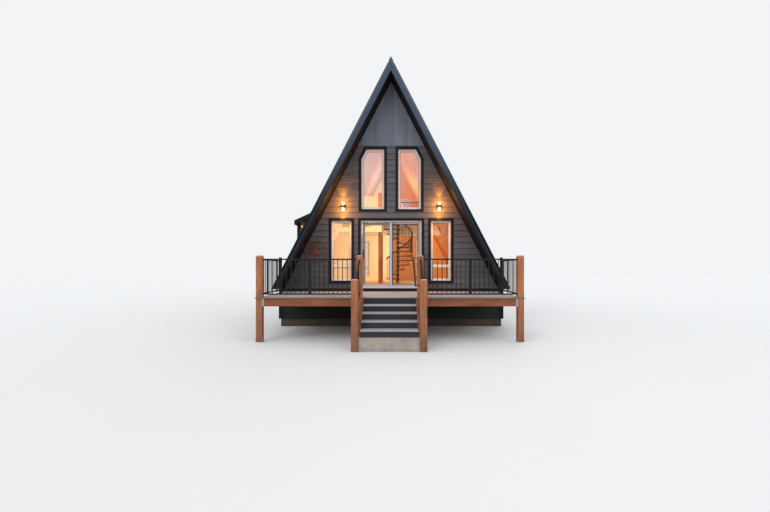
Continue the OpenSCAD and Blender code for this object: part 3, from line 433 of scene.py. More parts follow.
def deck_board(name, colour):
    """Composite boards: pale, finely streaked along the board, a little dusty, with painted shade on the
    deck's front edge.
    """
    f = Finish(name)
    _, along, across, _ = f.grain()
    streak = f.streaks(along * 1.6, across * 150.0, 0.0, 4.0, 0.7)
    tone = f.streaks(along * 0.25, across * 0.4, 5.0, 1.0)
    dust = f.streaks(along * 6.0, across * 9.0, 2.0, 4.0, 0.7)
    share = f.between(streak * 0.35 + tone * 0.4 + dust * 0.25, 0.33, 0.67)
    coat = f.shade(colour, 0.8, 1.12, share)
    dust_and_painted_light = f.blend(f.between(dust, 0.56, 0.72) * 0.3, coat, paint(160, 146, 134))
    _, _, y, z = f.place()
    # Painted shade on the deck's front edge
    dust_and_painted_light = f.blend((y < DECK_FRONT + 0.002) * (z > DECK - 0.1) * 0.8, dust_and_painted_light, paint(92, 76, 62))
    return f.coat(dust_and_painted_light, 0.66 + streak * 0.2, streak + dust * 0.3, 0.001, 0.5)


def gable_paint(name, colour):
    """Paint on rough upright boards: streaks run down the panel, and each
    batten has a painted highlight on its face between two lines of painted shade at its edges."""
    f = Finish(name)
    _, x, y, z = f.place()
    fibres = f.streaks(x * 160.0, y * 160.0, z * 3.0, 4.0, 0.65)
    share = f.between(fibres * 0.35 + f.streaks(x * 2.5, 0.0, z * 0.5, 2.0) * 0.65, 0.34, 0.66)
    off = abs((x + BATTEN_PITCH / 2) % BATTEN_PITCH - BATTEN_PITCH / 2)
    # Painted shade along each batten's edges
    joint = f.between(off, 0.022, 0.026) * (1.0 - f.between(off, 0.03, 0.05))
    shaded = f.blend(joint * 0.55, f.shade(colour, 0.84, 1.16, share), scaled(colour, 0.35))
    # Painted highlight on each batten's face
    shaded = f.blend((1.0 - f.between(off, 0.0, 0.03)) * 0.25, shaded, scaled(colour, 1.3))
    return f.coat(shaded, 0.6 + fibres * 0.16, fibres, 0.0014, 0.5)


def fascia_paint(name, colour):
    """Satin paint on the rake fascias: painted light towards the ridge and painted shade low
    down. The raised strip along the upper edge is painted darker than the board low down and
    lighter high up, with a painted highlight line below it low down."""
    f = Finish(name, 0.08)
    vector, x, y, z = f.place()
    fine = f.noise(vector, 90.0, 4.0, 0.65)
    streak = f.streaks(x * 3.0, y * 30.0, z * 3.0)
    # Painted light towards the ridge, painted shade low down
    high = f.between(z + streak * 0.4, FLOOR + 1.9, FLOOR + 5.1)
    depth = (RIDGE - z) * RUN - abs(x)
    board = f.between(depth, 0.1, 0.11)
    # Painted highlight line, low down only
    line = f.between(depth, 0.066, 0.072) * (1.0 - board)
    painted_shade_tone = f.blend(board, f.shade(colour, 0.14, 0.2, streak), f.shade(colour, 0.28, 0.4, streak))
    painted_shade_tone = f.blend(line, painted_shade_tone, f.shade(colour, 1.0, 1.4, streak))
    painted_lit_tone = f.blend(board, f.shade(colour, 2.2, 2.6, streak), f.shade(colour, 1.6, 2.0, streak))
    return f.coat(f.blend(high, painted_shade_tone, painted_lit_tone), 0.5 + fine * 0.16, fine, 0.0008, 0.4)


def sheet_metal(f, vector, x, y, z):
    """Broad marks, marks that run down, and the colour of coated roofing."""
    broad = f.noise(vector, 1.2)
    runs = f.streaks(y * 14.0, z * 0.7, x * 0.7)
    return broad, runs, f.shade(colours().roof, 0.82, 1.22, f.between(broad * 0.5 + runs * 0.5, 0.34, 0.66))


def roof_metal(name):
    """Coated metal roofing above, and boards below: the depth under the outer
    slope tells the two apart. Soffits are stained boards along the roof, with painted lamp
    light near the wall lights' height and painted shade elsewhere. The
    room's vault is rosy paint on the left and oiled pine on the right."""
    f = Finish(name, 0.25, Emission_Strength=GLOW)
    c = colours()
    vector, x, y, z = f.place()
    broad, _, metal = sheet_metal(f, vector, x, y, z)
    depth = (RIDGE - z) * RUN - abs(x)
    under = f.between(depth, ROOF_UPRIGHT * RUN * 0.45, ROOF_UPRIGHT * RUN * 0.55)
    opening = (x < 0.0) * (x > DORMER_X + 0.02) * (y > DORMER_Y0 + 0.02) * (y < DORMER_Y1 - 0.02)
    under = under.most(opening * (depth > 0.006))
    plank = (RIDGE - z) * (SLOPE / 0.138)
    board = plank.whole()
    joint = f.between(abs(plank - board - 0.5), 0.45, 0.49)
    fibres = f.streaks(y * 1.4, plank * 9.0, board * 3.7, 4.0, 0.6)
    share = f.between(fibres * 0.5 + f.streaks(y * 0.3, board * 5.1, 0.0, 1.0) * 0.5, 0.34, 0.66)
    # Painted lamp light on the soffit round the wall lights' height, and painted shade away from it
    lit = 1.0 - f.between(abs(z - (FLOOR + 2.3)), 0.5, 1.3)
    soffit = f.blend(lit, scaled(c.soffit, 0.45), f.shade(c.soffit, 0.7, 1.25, share))
    upper = f.between(z + broad * 0.2, LOFT - 0.25, LOFT + 0.25)
    left = f.blend(upper, f.shade(c.cream, 0.94, 1.04, broad), f.shade(c.rosy, 0.96, 1.03, broad))
    right = f.blend(upper, f.shade(c.orange, 0.78, 1.16, share), f.shade(c.pine, 0.78, 1.16, share))
    room = f.blend(x > 0.0, left, right)
    inside = (y > FRONT + 0.02) * (y < REAR - 0.02)
    lining = f.blend(joint * 0.5, f.blend(inside, soffit, room), (0.02, 0.012, 0.008))
    glow = f.blend(inside * under, (0.0, 0.0, 0.0), room)
    return f.coat(f.blend(under, metal, lining), 0.42 + broad * 0.14 + under * 0.18,
                  fibres * under * 0.5 - joint * under, 0.002, 0.5, Emission_Color=glow)


def dormer_cover(name):
    """The dormer's roof: coated metal above. Its underside is soffit outside
    and cream paint over the room."""
    f = Finish(name, 0.25)
    c = colours()
    vector, x, y, z = f.place()
    broad, runs, metal = sheet_metal(f, vector, x, y, z)
    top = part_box("dormer_roof")[1]
    under = f.between(top.z - DORMER_SLOPE * (top.x - x) - z, 0.02, 0.04)
    inside = (y > DORMER_Y0 + 0.03) * (y < DORMER_Y1 - 0.03) * (x > DORMER_X + 0.03)
    lining = f.blend(inside, f.shade(c.soffit, 0.7, 1.25, runs), f.shade(c.cream, 0.94, 1.04, broad))
    return f.coat(f.blend(under, metal, lining), 0.42 + broad * 0.14 + under * 0.18, broad, 0.001, 0.3)


def room_wall(name):
    """End walls: the siding's paint outside. In the room they are cream paint on
    the left and boards of pine on the right."""
    f = Finish(name, Emission_Strength=GLOW)
    c = colours()
    vector, x, y, z = f.place()
    inside = (y > FRONT + 0.05) * (y < REAR - 0.05) * (abs(x) < SIDE - 0.05)
    fine = f.noise(vector, 60.0)
    broad = f.noise(vector, 1.3, 2.0)
    board = (x / 0.14).whole()
    golden = scaled(toward(c.pine, c.cream, 0.08), 0.9)
    pine = f.shade(golden, 0.8, 1.06, f.streaks(x * 20.0, board * 3.1, z * 1.5))
    room = f.blend(f.between(x, -0.12, -0.1), f.shade(c.cream, 0.95, 1.04, broad), pine)
    colour = f.blend(inside, f.shade(c.siding, 0.85, 1.1, broad), room)
    glow = f.blend(inside, (0.0, 0.0, 0.0), room)
    return f.coat(colour, 0.6 + fine * 0.15, fine, 0.0006, 0.4, Emission_Color=glow)


def cream_lining(name, colour):
    """Rolled paint on the loft's half wall."""
    f = Finish(name, Emission_Strength=GLOW)
    vector = f.place()[0]
    stipple = f.noise(vector, 220.0)
    coat = f.shade(colour, 0.95, 1.05, f.noise(vector, 1.6, 2.0))
    return f.coat(coat, 0.7 + stipple * 0.1, stipple, 0.0005, 0.4, Emission_Color=coat)


def floor_boards(name, colour, cream):
    """Oiled boards 0.13 m wide along the room, with butt joints. Below the loft
    the ceiling and the floor's edges are cream."""
    f = Finish(name, Emission_Strength=GLOW * 0.5)
    _, x, y, z = f.place()
    plank = x / 0.13
    board = plank.whole()
    seam = f.between(abs(plank - board - 0.5), 0.475, 0.495)
    length = y / 1.9 + board * 0.37
    line = seam.most(f.between(abs(length - length.whole() - 0.5), 0.496, 0.499))
    tone = f.streaks(board * 3.3, length.whole() * 7.7, 0.0, 1.0)
    fibres = f.streaks(x * 90.0, y * 2.0, z * 90.0, 4.0, 0.6)
    share = f.between(tone * 0.55 + fibres * 0.45, 0.34, 0.66)
    wood = f.blend(line * 0.7, f.shade(colour, 0.74, 1.18, share), (0.05, 0.025, 0.012))
    under = (z > FLOOR + 0.5) * (z < LOFT - 0.004)
    left = 1.0 - f.between(x, -1.1, -0.7)
    lining = f.blend(left * 0.6, f.shade(cream, 0.94, 1.04, tone), f.shade(colour, 0.5, 0.6, tone))
    wood = f.blend(under, wood, lining)
    height = (fibres * 0.3 - line) * (1.0 - under)
    return f.coat(wood, 0.38 + fibres * 0.18 + under * 0.3, height, 0.0012, 0.5, Emission_Color=wood)


def concrete(name, colour):
    """Cast concrete: pores, cloudy tone and a damp foot."""
    f = Finish(name)
    vector, _, _, z = f.place()
    clouds = f.noise(vector, 2.6, 5.0, 0.6)
    grit = f.noise(vector, 110.0, 4.0, 0.7)
    pores = 1.0 - f.between(f.cells(vector, 34.0), 0.06, 0.14)
    damp = 1.0 - f.between(z + clouds * 0.12, 0.04, 0.16)
    tone = f.shade(colour, 0.76, 1.16, f.between(clouds * 0.7 + grit * 0.3, 0.36, 0.64))
    tone = f.blend(damp * 0.35, tone, scaled(colour, 0.45))
    tone = f.blend(pores * 0.6, tone, scaled(colour, 0.4))
    return f.coat(tone, 0.82 + grit * 0.12, grit * 0.5 - pores, 0.0016, 0.6)


def powder_coat(name, colour):
    """Powder coat: orange peel, dust on it and a satin sheen."""
    f = Finish(name, 0.2)
    vector = f.place()[0]
    dust = f.noise(vector, 5.0, 4.0, 0.6)
    colour = f.blend(f.between(dust, 0.5, 0.7) * 0.35, colour, paint(72, 70, 68))
    return f.coat(colour, 0.4 + dust * 0.22, f.noise(vector, 320.0, 2.0), 0.0003, 0.3)


def profile(name, colour, tones):
    """Smooth coated profile with faint weather marks, in the tones that a
    function gives from the marks and the place."""
    f = Finish(name)
    vector, x, y, z = f.place()
    runs = f.streaks(x * 26.0, y * 26.0, z * 1.5)
    haze = f.noise(vector, 3.0)
    share = f.between(runs * 0.5 + haze * 0.5, 0.32, 0.68)
    return f.coat(tones(f, colour, share, x, y, z), 0.34 + haze * 0.2, runs, 0.0004, 0.25)


def window_tones(f, colour, share, x, y, z):
    """The door's left jamb has painted shade, and its sill is cool."""
    door = abs(x) < DOOR_HALF + 0.01
    # Painted shade on the door's left jamb
    jamb = (x < 0.0) * (z < DOOR_TOP - 0.05) * (z > FLOOR + 0.05) * (y < FRONT + 0.2)
    tone = f.blend(door * jamb * 0.62, f.shade(colour, 0.88, 1.06, share), scaled(colour, 0.12))
    return f.blend(door * (z < FLOOR + 0.05) * 0.7, tone, paint(206, 208, 214))


def sash_tones(f, colour, share, x, y, z):
    """The meeting stiles have a painted reflection of the sky, and the upper edge has painted shade from
    the head.
    """
    # Painted reflection of the sky on the meeting stiles
    middle = 1.0 - f.between(abs(x + 0.012), 0.02, 0.05)
    sky = f.shade(paint(188, 206, 242), 0.94, 1.12, share)
    tone = f.blend(middle, f.shade(colour, 0.62, 0.78, share), sky)
    tone = f.blend(f.between(x, 0.1, 0.12), tone, f.shade(colour, 0.9, 1.1, share))
    # Painted shade from the head along the upper edge
    tone = f.blend(f.between(z, DOOR_TOP - 0.058, DOOR_TOP - 0.05) * 0.8, tone, paint(40, 30, 28))
    foot = 1.0 - f.between(z, FLOOR + 0.11, FLOOR + 0.12)
    return f.blend(foot * 0.8, tone, paint(196, 196, 204))


def glazing(name):
    """Double glazing: mostly clear, with smears in its gloss. The rear panes
    are painted warm and less clear, as painted light from the lit room."""
    f = Finish(name)
    vector, _, y, _ = f.place()
    smear = f.noise(vector, 2.4, 4.0, 0.6)
    rear = y > (FRONT + REAR) / 2
    # Painted warm light in the rear panes
    tone = f.blend(rear, paint(90, 100, 104), paint(238, 204, 152))
    return f.coat(tone, 0.03 + smear * 0.06, smear, 0.0006, 0.05, Alpha=0.04 + smear * 0.03 + rear * 0.3)


def mirror_glazing(name):
    """Double glazing that mirrors the sky: a clear pane with a thin bright coat."""
    f = Finish(name)
    vector, _, y, z = f.place()
    smear = f.noise(vector, 1.1, 4.0, 0.6)
    high = f.between(z + smear * 0.5, FLOOR + 2.6, FLOOR + 4.6)
    rear = y > (FRONT + REAR) / 2
    # Painted warm light in the rear panes
    tone = f.blend(rear, paint(226, 226, 238), paint(214, 160, 104))
    return f.coat(tone, 0.04 + smear * 0.08, smear, 0.0006, 0.05,
                  Alpha=0.05 + high * 0.17 + rear * 0.3, Metallic=1.0 - rear)


def insect_mesh(name):
    """Woven mesh: a grid of dark threads 1.6 mm apart, open between them."""
    f = Finish(name)
    vector, x, _, z = f.place()
    thread = (abs((x / 0.0016) % 1.0 - 0.5) > 0.4).most(abs((z / 0.0016) % 1.0 - 0.5) > 0.4)
    dust = f.noise(vector, 8.0)
    tone = f.shade(paint(40, 41, 44), 0.8, 1.5, dust)
    return f.coat(tone, 0.7 + dust * 0.1, thread, 0.0002, 0.3, Alpha=0.2 + thread * 0.06)


def galvanised(name):
    """Zinc-coated steel: spangles that differ in tone and gloss."""
    f = Finish(name, Metallic=0.85)
    vector = f.place()[0]
    spangle = f.cells(vector, 95.0)
    tone = f.shade(paint(158, 162, 166), 0.8, 1.12, spangle)
    return f.coat(tone, 0.38 + f.noise(vector, 9.0) * 0.3, spangle, 0.0002, 0.3)


def rust(name, colour):
    """Rusted plate: warm blooms and fine pits."""
    f = Finish(name)
    vector = f.place()[0]
    bloom = f.noise(vector, 14.0, 5.0, 0.65)
    pits = f.noise(vector, 260.0, 3.0, 0.7)
    tone = f.shade(colour, 0.5, 1.5, f.between(bloom, 0.35, 0.66))
    return f.coat(tone, 0.78 + pits * 0.15, bloom * 0.6 + pits * 0.4, 0.0012, 0.6)


def lamp_glass(name, colour):
    """Frosted lamp glass, hottest towards its ends. The dormer's lamp is dim."""
    f = Finish(name, Emission_Strength=6.0)
    _, across, round_it, _ = f.grain()
    _, _, y, z = f.place()
    frost = f.noise(f.vector(across, round_it, 0.0), 60.0, 2.0)
    core = f.between(abs(z - LAMP_Z), 0.05, 0.085)
    glow = f.blend(core, scaled(colour, 0.3), paint(255, 236, 200))
    glow = f.blend(y > FRONT + 1.0, glow, scaled(colour, 0.05))
    return f.coat(paint(250, 235, 205), 0.5 + frost * 0.1, frost, 0.0003, 0.3, Emission_Color=glow)


def seal(name):
    """Black rubber of gaskets."""
    f = Finish(name)
    fine = f.noise(f.place()[0], 180.0)
    return f.coat(f.shade(paint(24, 25, 27), 0.8, 1.3, fine), 0.6 + fine * 0.15, fine, 0.0004, 0.3)


# Each finish: what makes it, its settings with colours by name, and the slot of
# the record that pieces with it take
FINISHES = {
    "siding": (siding_paint, ("siding",), "siding"),
    "skirt_siding": (siding_paint, ("skirt",), "siding"),
    "trim_board": (painted_board, ("trim", 0.5), "dark_trim"),
    "riser": (painted_board, ("riser",), "riser_board"),
    "trim": (painted_solid, ("trim",), None),
    "fascia": (fascia_paint, ("fascia",), None),
    "gable": (gable_paint, ("gable",), None),
    "roof": (roof_metal, (), None),
    "dormer_cover": (dormer_cover, (), None),
    "roof_seam": (painted_solid, ("roof", 0.36), "roof_metal"),
    "wall": (room_wall, (), None),
    "cream": (cream_lining, ("cream",), None),
    "floor": (floor_boards, ("floor", "cream"), None),
    "post": (post_timber, ("timber",), "timber"),
    "inner_post": (timber, ("inner_post", 2.2), "timber"),
    "stringer": (timber, ("rim", 1.0, (0.0, 0.0, math.radians(90))), None),
    "rim": (timber, ("rim",), "timber"),
    "deck": (deck_board, ("deck",), "deck_board"),
    "concrete": (concrete, ("concrete",), None),
    "footing": (concrete, ("footing",), None),
    "metal": (powder_coat, ("metal",), "black_metal"),
    "spiral": (powder_coat, ("spiral",), None),
    "grip": (timber, ("grip",), "timber"),
    "window": (profile, ("window", window_tones), "white_frame"),
    "sash": (profile, ("sash", sash_tones), "door_sash"),
    "glass": (glazing, (), None),
    "upper_glass": (mirror_glazing, (), None),
    "screen": (insect_mesh, (), None),
    "steel": (galvanised, (), None),
    "rust": (rust, ("rust",), None),
    "lamp": (lamp_glass, ("lamp",), None),
    "seal": (seal, (), "black_metal"),
}
MADE = {}


def finish(name):
    """The material of that name, made once."""
    if name not in MADE:
        maker, settings, _ = FINISHES[name]
        settings = [getattr(colours(), value) if isinstance(value, str) else value for value in settings]
        MADE[name] = maker("cabin_" + name, *settings)
    return MADE[name]


# Shapes

def grid_faces(items, rows, cols, closed, caps):
    """Corner numbers of the quads on a stack of grids. Each grid has rows rings
    of cols points. Closed joins the last ring to the first. Caps close the first
    and last ring of an even outline by strips that join point k to its opposite."""
    row = np.arange(rows if closed else rows - 1)
    a, b = (g.ravel() for g in np.meshgrid(row, np.arange(cols), indexing="ij"))
    c, d = (a + 1) % rows, (b + 1) % cols
    faces = np.stack([a * cols + b, a * cols + d, c * cols + d, c * cols + b], axis=1)
    if caps:
        k = np.arange(cols // 2 - 1)
        cap = np.stack([k, cols - 1 - k, cols - 2 - k, k + 1], axis=1)
        faces = np.concatenate([faces, cap, cap[:, ::-1] + (rows - 1) * cols])
    shift = np.arange(items)[:, None, None] * rows * cols
    return (faces[None] + shift).reshape(-1, 4)


def columns(*parts):
    """Arrays or numbers side by side, as the last axis of one array."""
    return np.stack(np.broadcast_arrays(*parts), axis=-1)


def skin(points, u, v, closed=False, caps=True):
    """A shape from grids of points, and the two places of each in the map."""
    rows, cols = points.shape[-3:-1]
    faces = grid_faces(points.size // (3 * rows * cols), rows, cols, closed, caps)
    return points.reshape(-1, 3), faces, columns(u, v).reshape(-1, 2)


def put(name, parts, material, body="cabin", replaced=None, smooth=False):
    """Makes an object from shapes laid end to end, and hands it to the frame. A
    shape holds points, quads and the map's place at each point."""
    counts = np.cumsum([0] + [len(points) for points, _, _ in parts])
    points = np.concatenate([p for p, _, _ in parts])
    faces = np.concatenate([q + count for (_, q, _), count in zip(parts, counts)])
    grain = np.concatenate([g for _, _, g in parts])
    mesh = bpy.data.meshes.new(name)
    mesh.vertices.add(len(points))
    mesh.vertices.foreach_set("co", np.ascontiguousarray(points, dtype=np.float32).ravel())
    mesh.loops.add(faces.size)
    mesh.loops.foreach_set("vertex_index", faces.ravel().astype(np.int32))
    mesh.polygons.add(len(faces))
    mesh.polygons.foreach_set("loop_start", np.arange(0, faces.size, 4, dtype=np.int32))
    mesh.update(calc_edges=True)
    layer = mesh.uv_layers.new(name="grain")
    layer.data.foreach_set("uv", grain[faces.ravel()].astype(np.float32).ravel())
    mesh.polygons.foreach_set("use_smooth", np.full(len(faces), smooth))
    mesh.materials.append(finish(material))
    made = bpy.data.objects.new(name, mesh)
    bpy.context.scene.collection.objects.link(made)
    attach(made, body)
    if replaced:
        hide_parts(replaced)


def boards(starts, ends, width, thick, chamfer, side=(0.0, 0.0, 1.0), seed=1, top=None):
    """Straight boards as an octagon carried from start to end. The octagon is a
    rectangle, width by thick, with its corners cut by the chamfer. It shrinks by
    the chamfer at each end. Side is the direction that the width is measured in.
    The map holds metres along the board and metres round it, moved by a
    different amount on each board."""
    starts, ends = np.atleast_2d(starts).astype(float), np.atleast_2d(ends).astype(float)
    count = len(starts)
    length = np.linalg.norm(ends - starts, axis=1)
    ahead = (ends - starts) / length[:, None]
    across = np.broadcast_to(np.asarray(side, float), ahead.shape)
    across = across - ahead * np.sum(across * ahead, axis=1)[:, None]
    across = across / np.linalg.norm(across, axis=1)[:, None]
    through = np.cross(ahead, across)
    w, t, c = (np.broadcast_to(np.asarray(v, float), (count,)) for v in (width, thick, chamfer))
    top = c if top is None else np.broadcast_to(np.asarray(top, float), (count,))
    cut_w = np.array([1, 0, 0, 1, 1, 0, 0, 1])
    cut_t = np.array([0, 1, 1, 0, 0, 1, 1, 0])
    sign_w = np.array([1, 1, 1, 1, -1, -1, -1, -1])
    sign_t = np.array([-1, -1, 1, 1, 1, 1, -1, -1])
    far = columns(0.0, c, length - top, length)
    shrink = columns(c, 0.0, 0.0, top)
    a = sign_w * (w[:, None, None] / 2 - shrink[:, :, None] - cut_w * c[:, None, None])
    b = sign_t * (t[:, None, None] / 2 - shrink[:, :, None] - cut_t * c[:, None, None])
    points = (starts[:, None, None] + ahead[:, None, None] * far[:, :, None, None]
              + across[:, None, None] * a[..., None] + through[:, None, None] * b[..., None])
    rng = np.random.default_rng(seed)
    shift = rng.uniform(0, 40, (2, count))
    u = far[:, :, None] + shift[0][:, None, None]
    return skin(points, u, a + b * 0.61 + shift[1][:, None, None])


def plank(low, high, axis, chamfer, seed):
    """A board that fills the box from low to high, its fibres along one axis."""
    low, high = np.atleast_2d(low).astype(float), np.atleast_2d(high).astype(float)
    mid = (low + high) / 2
    start, end = mid.copy(), mid.copy()
    start[:, axis], end[:, axis] = low[:, axis], high[:, axis]
    other = [1, 2, 0][axis]
    last = 3 - axis - other
    side = np.eye(3)[other]
    return boards(start, end, (high - low)[:, other], (high - low)[:, last], chamfer, side, seed)


def mitres(corners):
    """At each corner of a loop, anticlockwise as seen from outside, the way
    inwards along the line that halves it, so long that both sides move by 1."""
    before = corners - np.roll(corners, 1, axis=0)
    n0, n1 = (columns(-d[:, 1], d[:, 0]) / np.linalg.norm(d, axis=1)[:, None]
              for d in (before, np.roll(before, -1, axis=0)))
    return (n0 + n1) / (1 + np.sum(n0 * n1, axis=1))[:, None]


def grown(corners, margin):
    """A loop moved outwards by a margin, its sides kept parallel."""
    corners = np.asarray(corners, float)
    return corners - margin * mitres(corners)


def ring_sweep(corners, outline, origin, right, inward):
    """A closed outline carried round a flat loop with mitred corners. Corners
    are (right, up) places, and the outline holds (towards the middle, into the
    wall) places."""
    corners, outline = np.asarray(corners, float), np.asarray(outline, float)
    flat = corners[:, None] + mitres(corners)[:, None] * outline[None, :, :1]
    right, inward, up = (np.asarray(v, float) for v in (right, inward, (0.0, 0.0, 1.0)))
    points = (np.asarray(origin, float) + flat[..., :1] * right + flat[..., 1:] * up
              + outline[None, :, 1:] * inward)
    after = np.roll(corners, -1, axis=0) - corners
    run = np.concatenate([[0.0], np.cumsum(np.linalg.norm(after, axis=1))[:-1]])
    edge_run = np.concatenate([[0.0], np.cumsum(np.linalg.norm(np.diff(outline, axis=0), axis=1))])
    return skin(points, run[:, None], edge_run[None], True, False)


def turned(outline, centre, steps):
    """A surface of revolution about the upright through centre. The outline
    holds (radius, height) places."""
    outline = np.asarray(outline, float)
    angle = np.linspace(0, 2 * math.pi, steps, endpoint=False)
    radius, height = outline[:, None, 0], outline[:, None, 1]
    points = np.asarray(centre) + columns(radius * np.cos(angle), radius * np.sin(angle), height)
    return skin(points, radius, angle[None] * 0.05, False, False)


def rectangle(x0, z0, x1, z1):
    """Corners of an upright rectangle, anticlockwise from the lower left."""
    return [(x0, z0), (x1, z0), (x1, z1), (x0, z1)]


# Siding

def lap_cells(z_low, z_high, breaks, left, right, holes, lap, out):
    """Flat cells of lap siding on a wall, one row for each: lower and upper
    height, left edge at both, right edge at both, how far the face stands out at
    both, and the lip. Heights are split where a hole or the outline turns, so
    each cell has straight ends. Holes are (low, high, left, right) with edges as
    functions of height."""
    first = math.floor((z_low - COURSE) / lap)
    last = math.ceil((z_high - COURSE) / lap)
    courses = [COURSE + i * lap for i in range(first, last + 1)]
    turns = [z for h in holes for z in h[:2]] + list(breaks) + [z_low, z_high]
    cuts = sorted({round(z, 5) for z in courses + turns if z_low - 1e-6 <= z <= z_high + 1e-6})
    rows = []
    for low, high in zip(cuts, cuts[1:]):
        course = math.floor((low + 1e-4 - COURSE) / lap)
        foot = COURSE + course * lap
        spans = [(left, right)]
        for h_low, h_high, h_left, h_right in holes:
            if h_low <= low + 1e-4 and high <= h_high + 1e-4:
                spans = [piece for span in spans for piece in beside(span, h_left, h_right, low)]
        stand = [out * (1 - 0.82 * (z - foot) / lap) for z in (low, high)]
        lip = 0.002 if abs(low - foot) < 1e-4 else 0.0
        for a, b in spans:
            rows += joint_split([low, high, a(low), a(high), b(low), b(high), *stand, lip, course])
    return np.array(rows)


def beside(span, h_left, h_right, z):
    """What is left of a span, measured at height z, on both sides of a hole."""
    a, b = span
    if h_right(z) <= a(z) or h_left(z) >= b(z):
        return [span]
    return [piece for piece in ((a, h_left), (h_right, b)) if piece[1](z) - piece[0](z) > 0.001]


def joint_split(cell):
    """A cell cut where the boards of its course butt, about every 3.6 m."""
    low, high, a0, a1, b0, b1, s0, s1, lip, course = cell
    joint = (course * 1.37) % 3.6 - 3.6
    rows = []
    left = (a0, a1)
    while joint < min(b0, b1) - 0.2:
        if joint > max(left) + 0.2:
            rows.append([low, high, *left, joint - 0.0008, joint - 0.0008, s0, s1, lip, course])
            left = (joint + 0.0008, joint + 0.0008)
        joint += 3.6
    return rows + [[low, high, *left, b0, b1, s0, s1, lip, course]]


def lap_shape(cells, origin, right, seed):
    """Cells of siding as closed boards: a six-point outline (out, up) carried
    from the left edge to the right one, both slanted as the cell says. Outward
    is right crossed with up."""
    right = np.asarray(right, float)
    out = np.cross(right, (0.0, 0.0, 1.0))
    low, high, a0, a1, b0, b1, s0, s1, lip, course = cells.T
    stand = columns(0.0, s0 - lip, s0, (s0 + s1) / 2, s1, 0.0)
    up = columns(low, low, low + lip, (low + lip + high) / 2, high, high)
    share = (up - low[:, None]) / (high - low)[:, None]
    ends = np.stack([e0[:, None] + (e1 - e0)[:, None] * share for e0, e1 in ((a0, a1), (b0, b1))], axis=1)
    points = (np.asarray(origin, float) + ends[..., None] * right
              + stand[:, None, :, None] * out + up[:, None, :, None] * np.array([0.0, 0.0, 1.0]))
    rng = np.random.default_rng(seed)
    pick = rng.uniform(0, 60, 400)[(course.astype(int) + 7) % 400]
    v = up[:, None] - low[:, None, None] + pick[:, None, None]
    return skin(points, ends + pick[:, None, None], v)


def level(value):
    """An edge that stands upright at a place."""
    return lambda z: value


class CABIN_OT_siding(bpy.types.Operator):
    """Lap siding on the end walls, the dormer and the platform's sides"""

    bl_idname = "cabin.siding"
    bl_label = "Lap siding"

    def execute(self, context):
        sizes = context.scene.cabin_sizes

        def wall(low, high, breaks, left, right, holes, origin, across, seed):
            """Courses on a wall from low to high, between two edges."""
            cells = lap_cells(low, high, breaks, left, right, holes, sizes.lap, sizes.lap_out)
            return lap_shape(cells, origin, across, seed)

        def hole(low, high, left, right):
            """A rectangular hole, larger all round by what the trim covers."""
            return low - TRIM_IN, high + TRIM_IN, level(left - TRIM_IN), level(right + TRIM_IN)

        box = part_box("upper_window_frames")
        up_x1 = box[1].x + TRIM_IN
        up_x0 = up_x1 - 2 * TRIM_IN - UPPER_W
        up = (box[0].z - TRIM_IN, box[1].z + TRIM_IN)
        slanted = (UPPER_IN - TRIM_IN) * SLOPE

        def clip(z):
            """The upper window's outer edge, which follows the roof higher up."""
            return min(up_x1, inner_x(z) - slanted)

        turn = (RIDGE - ROOF_UPRIGHT) - (up_x1 + slanted) / RUN
        holes = [hole(WIN_SILL, DOOR_TOP, -WIN_X1, -WIN_X0), hole(WIN_SILL, DOOR_TOP, WIN_X0, WIN_X1),
                 (*up, level(up_x0), clip), (*up, lambda z: -clip(z), level(-up_x0))]
        door = hole(FLOOR + 0.03, DOOR_TOP, -DOOR_HALF, DOOR_HALF)
        trim_in = 0.6 * (inner_x(GABLE) - edge("gable_panels", 1, "x"))

        def slope(z):
            """The siding's edge under the roof."""
            return inner_x(z) - trim_in

        put("lap_siding", [
            wall(FLOOR, GABLE + 0.03, [turn], lambda z: -slope(z), slope, cut, origin, right, 3)
            for (origin, right, _), cut in zip(ENDS, (holes + [door], holes))], "siding")

        wide, long, mid = SIDE - CORNER_W / 2, (REAR - FRONT) / 2 - CORNER_W / 2, (REAR + FRONT) / 2
        sides = ((*ENDS[0][:2], wide, edge("deck_joists", 0, "z")),
                 (*ENDS[1][:2], wide, FLOOR),
                 ((SIDE, mid, 0.0), (0.0, 1.0, 0.0), long, FLOOR),
                 ((-SIDE, mid, 0.0), (0.0, -1.0, 0.0), long, FLOOR))
        put("skirt_siding", [wall(CONCRETE, top, [], level(-half), level(half), [], origin, right, 4 + i)
                             for i, (origin, right, half, top) in enumerate(sides)], "skirt_siding")

        low = edge("dormer_side_wall", 1, "z")
        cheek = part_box("dormer_cheeks")[1]
        pitch = (cheek.z - low) / (cheek.x - DORMER_X)

        def edge_x(z):
            """The cheek's outer edge: upright, then along the dormer's roof."""
            return DORMER_X + max(0.0, z - low) / pitch

        foot, top = max(FLOOR, RIDGE + DORMER_X / RUN) + 0.004, cheek.z - 0.004
        reach = (DORMER_Y1 - DORMER_Y0) / 2
        pane = hole(WIN_SILL, DOOR_TOP, -0.3, 0.3)
        put("dormer_siding", [
            wall(foot, top, [low], edge_x, lambda z: -outer_x(z), [], (0, DORMER_Y0, 0), ENDS[0][1], 8),
            wall(foot, top, [low], outer_x, lambda z: -edge_x(z), [], (0, DORMER_Y1, 0), ENDS[1][1], 9),
            wall(FLOOR, low - 0.02, [], level(-reach), level(reach), [pane], *DORMER_WALL[:2], 10),
        ], "siding")
        return {"FINISHED"}


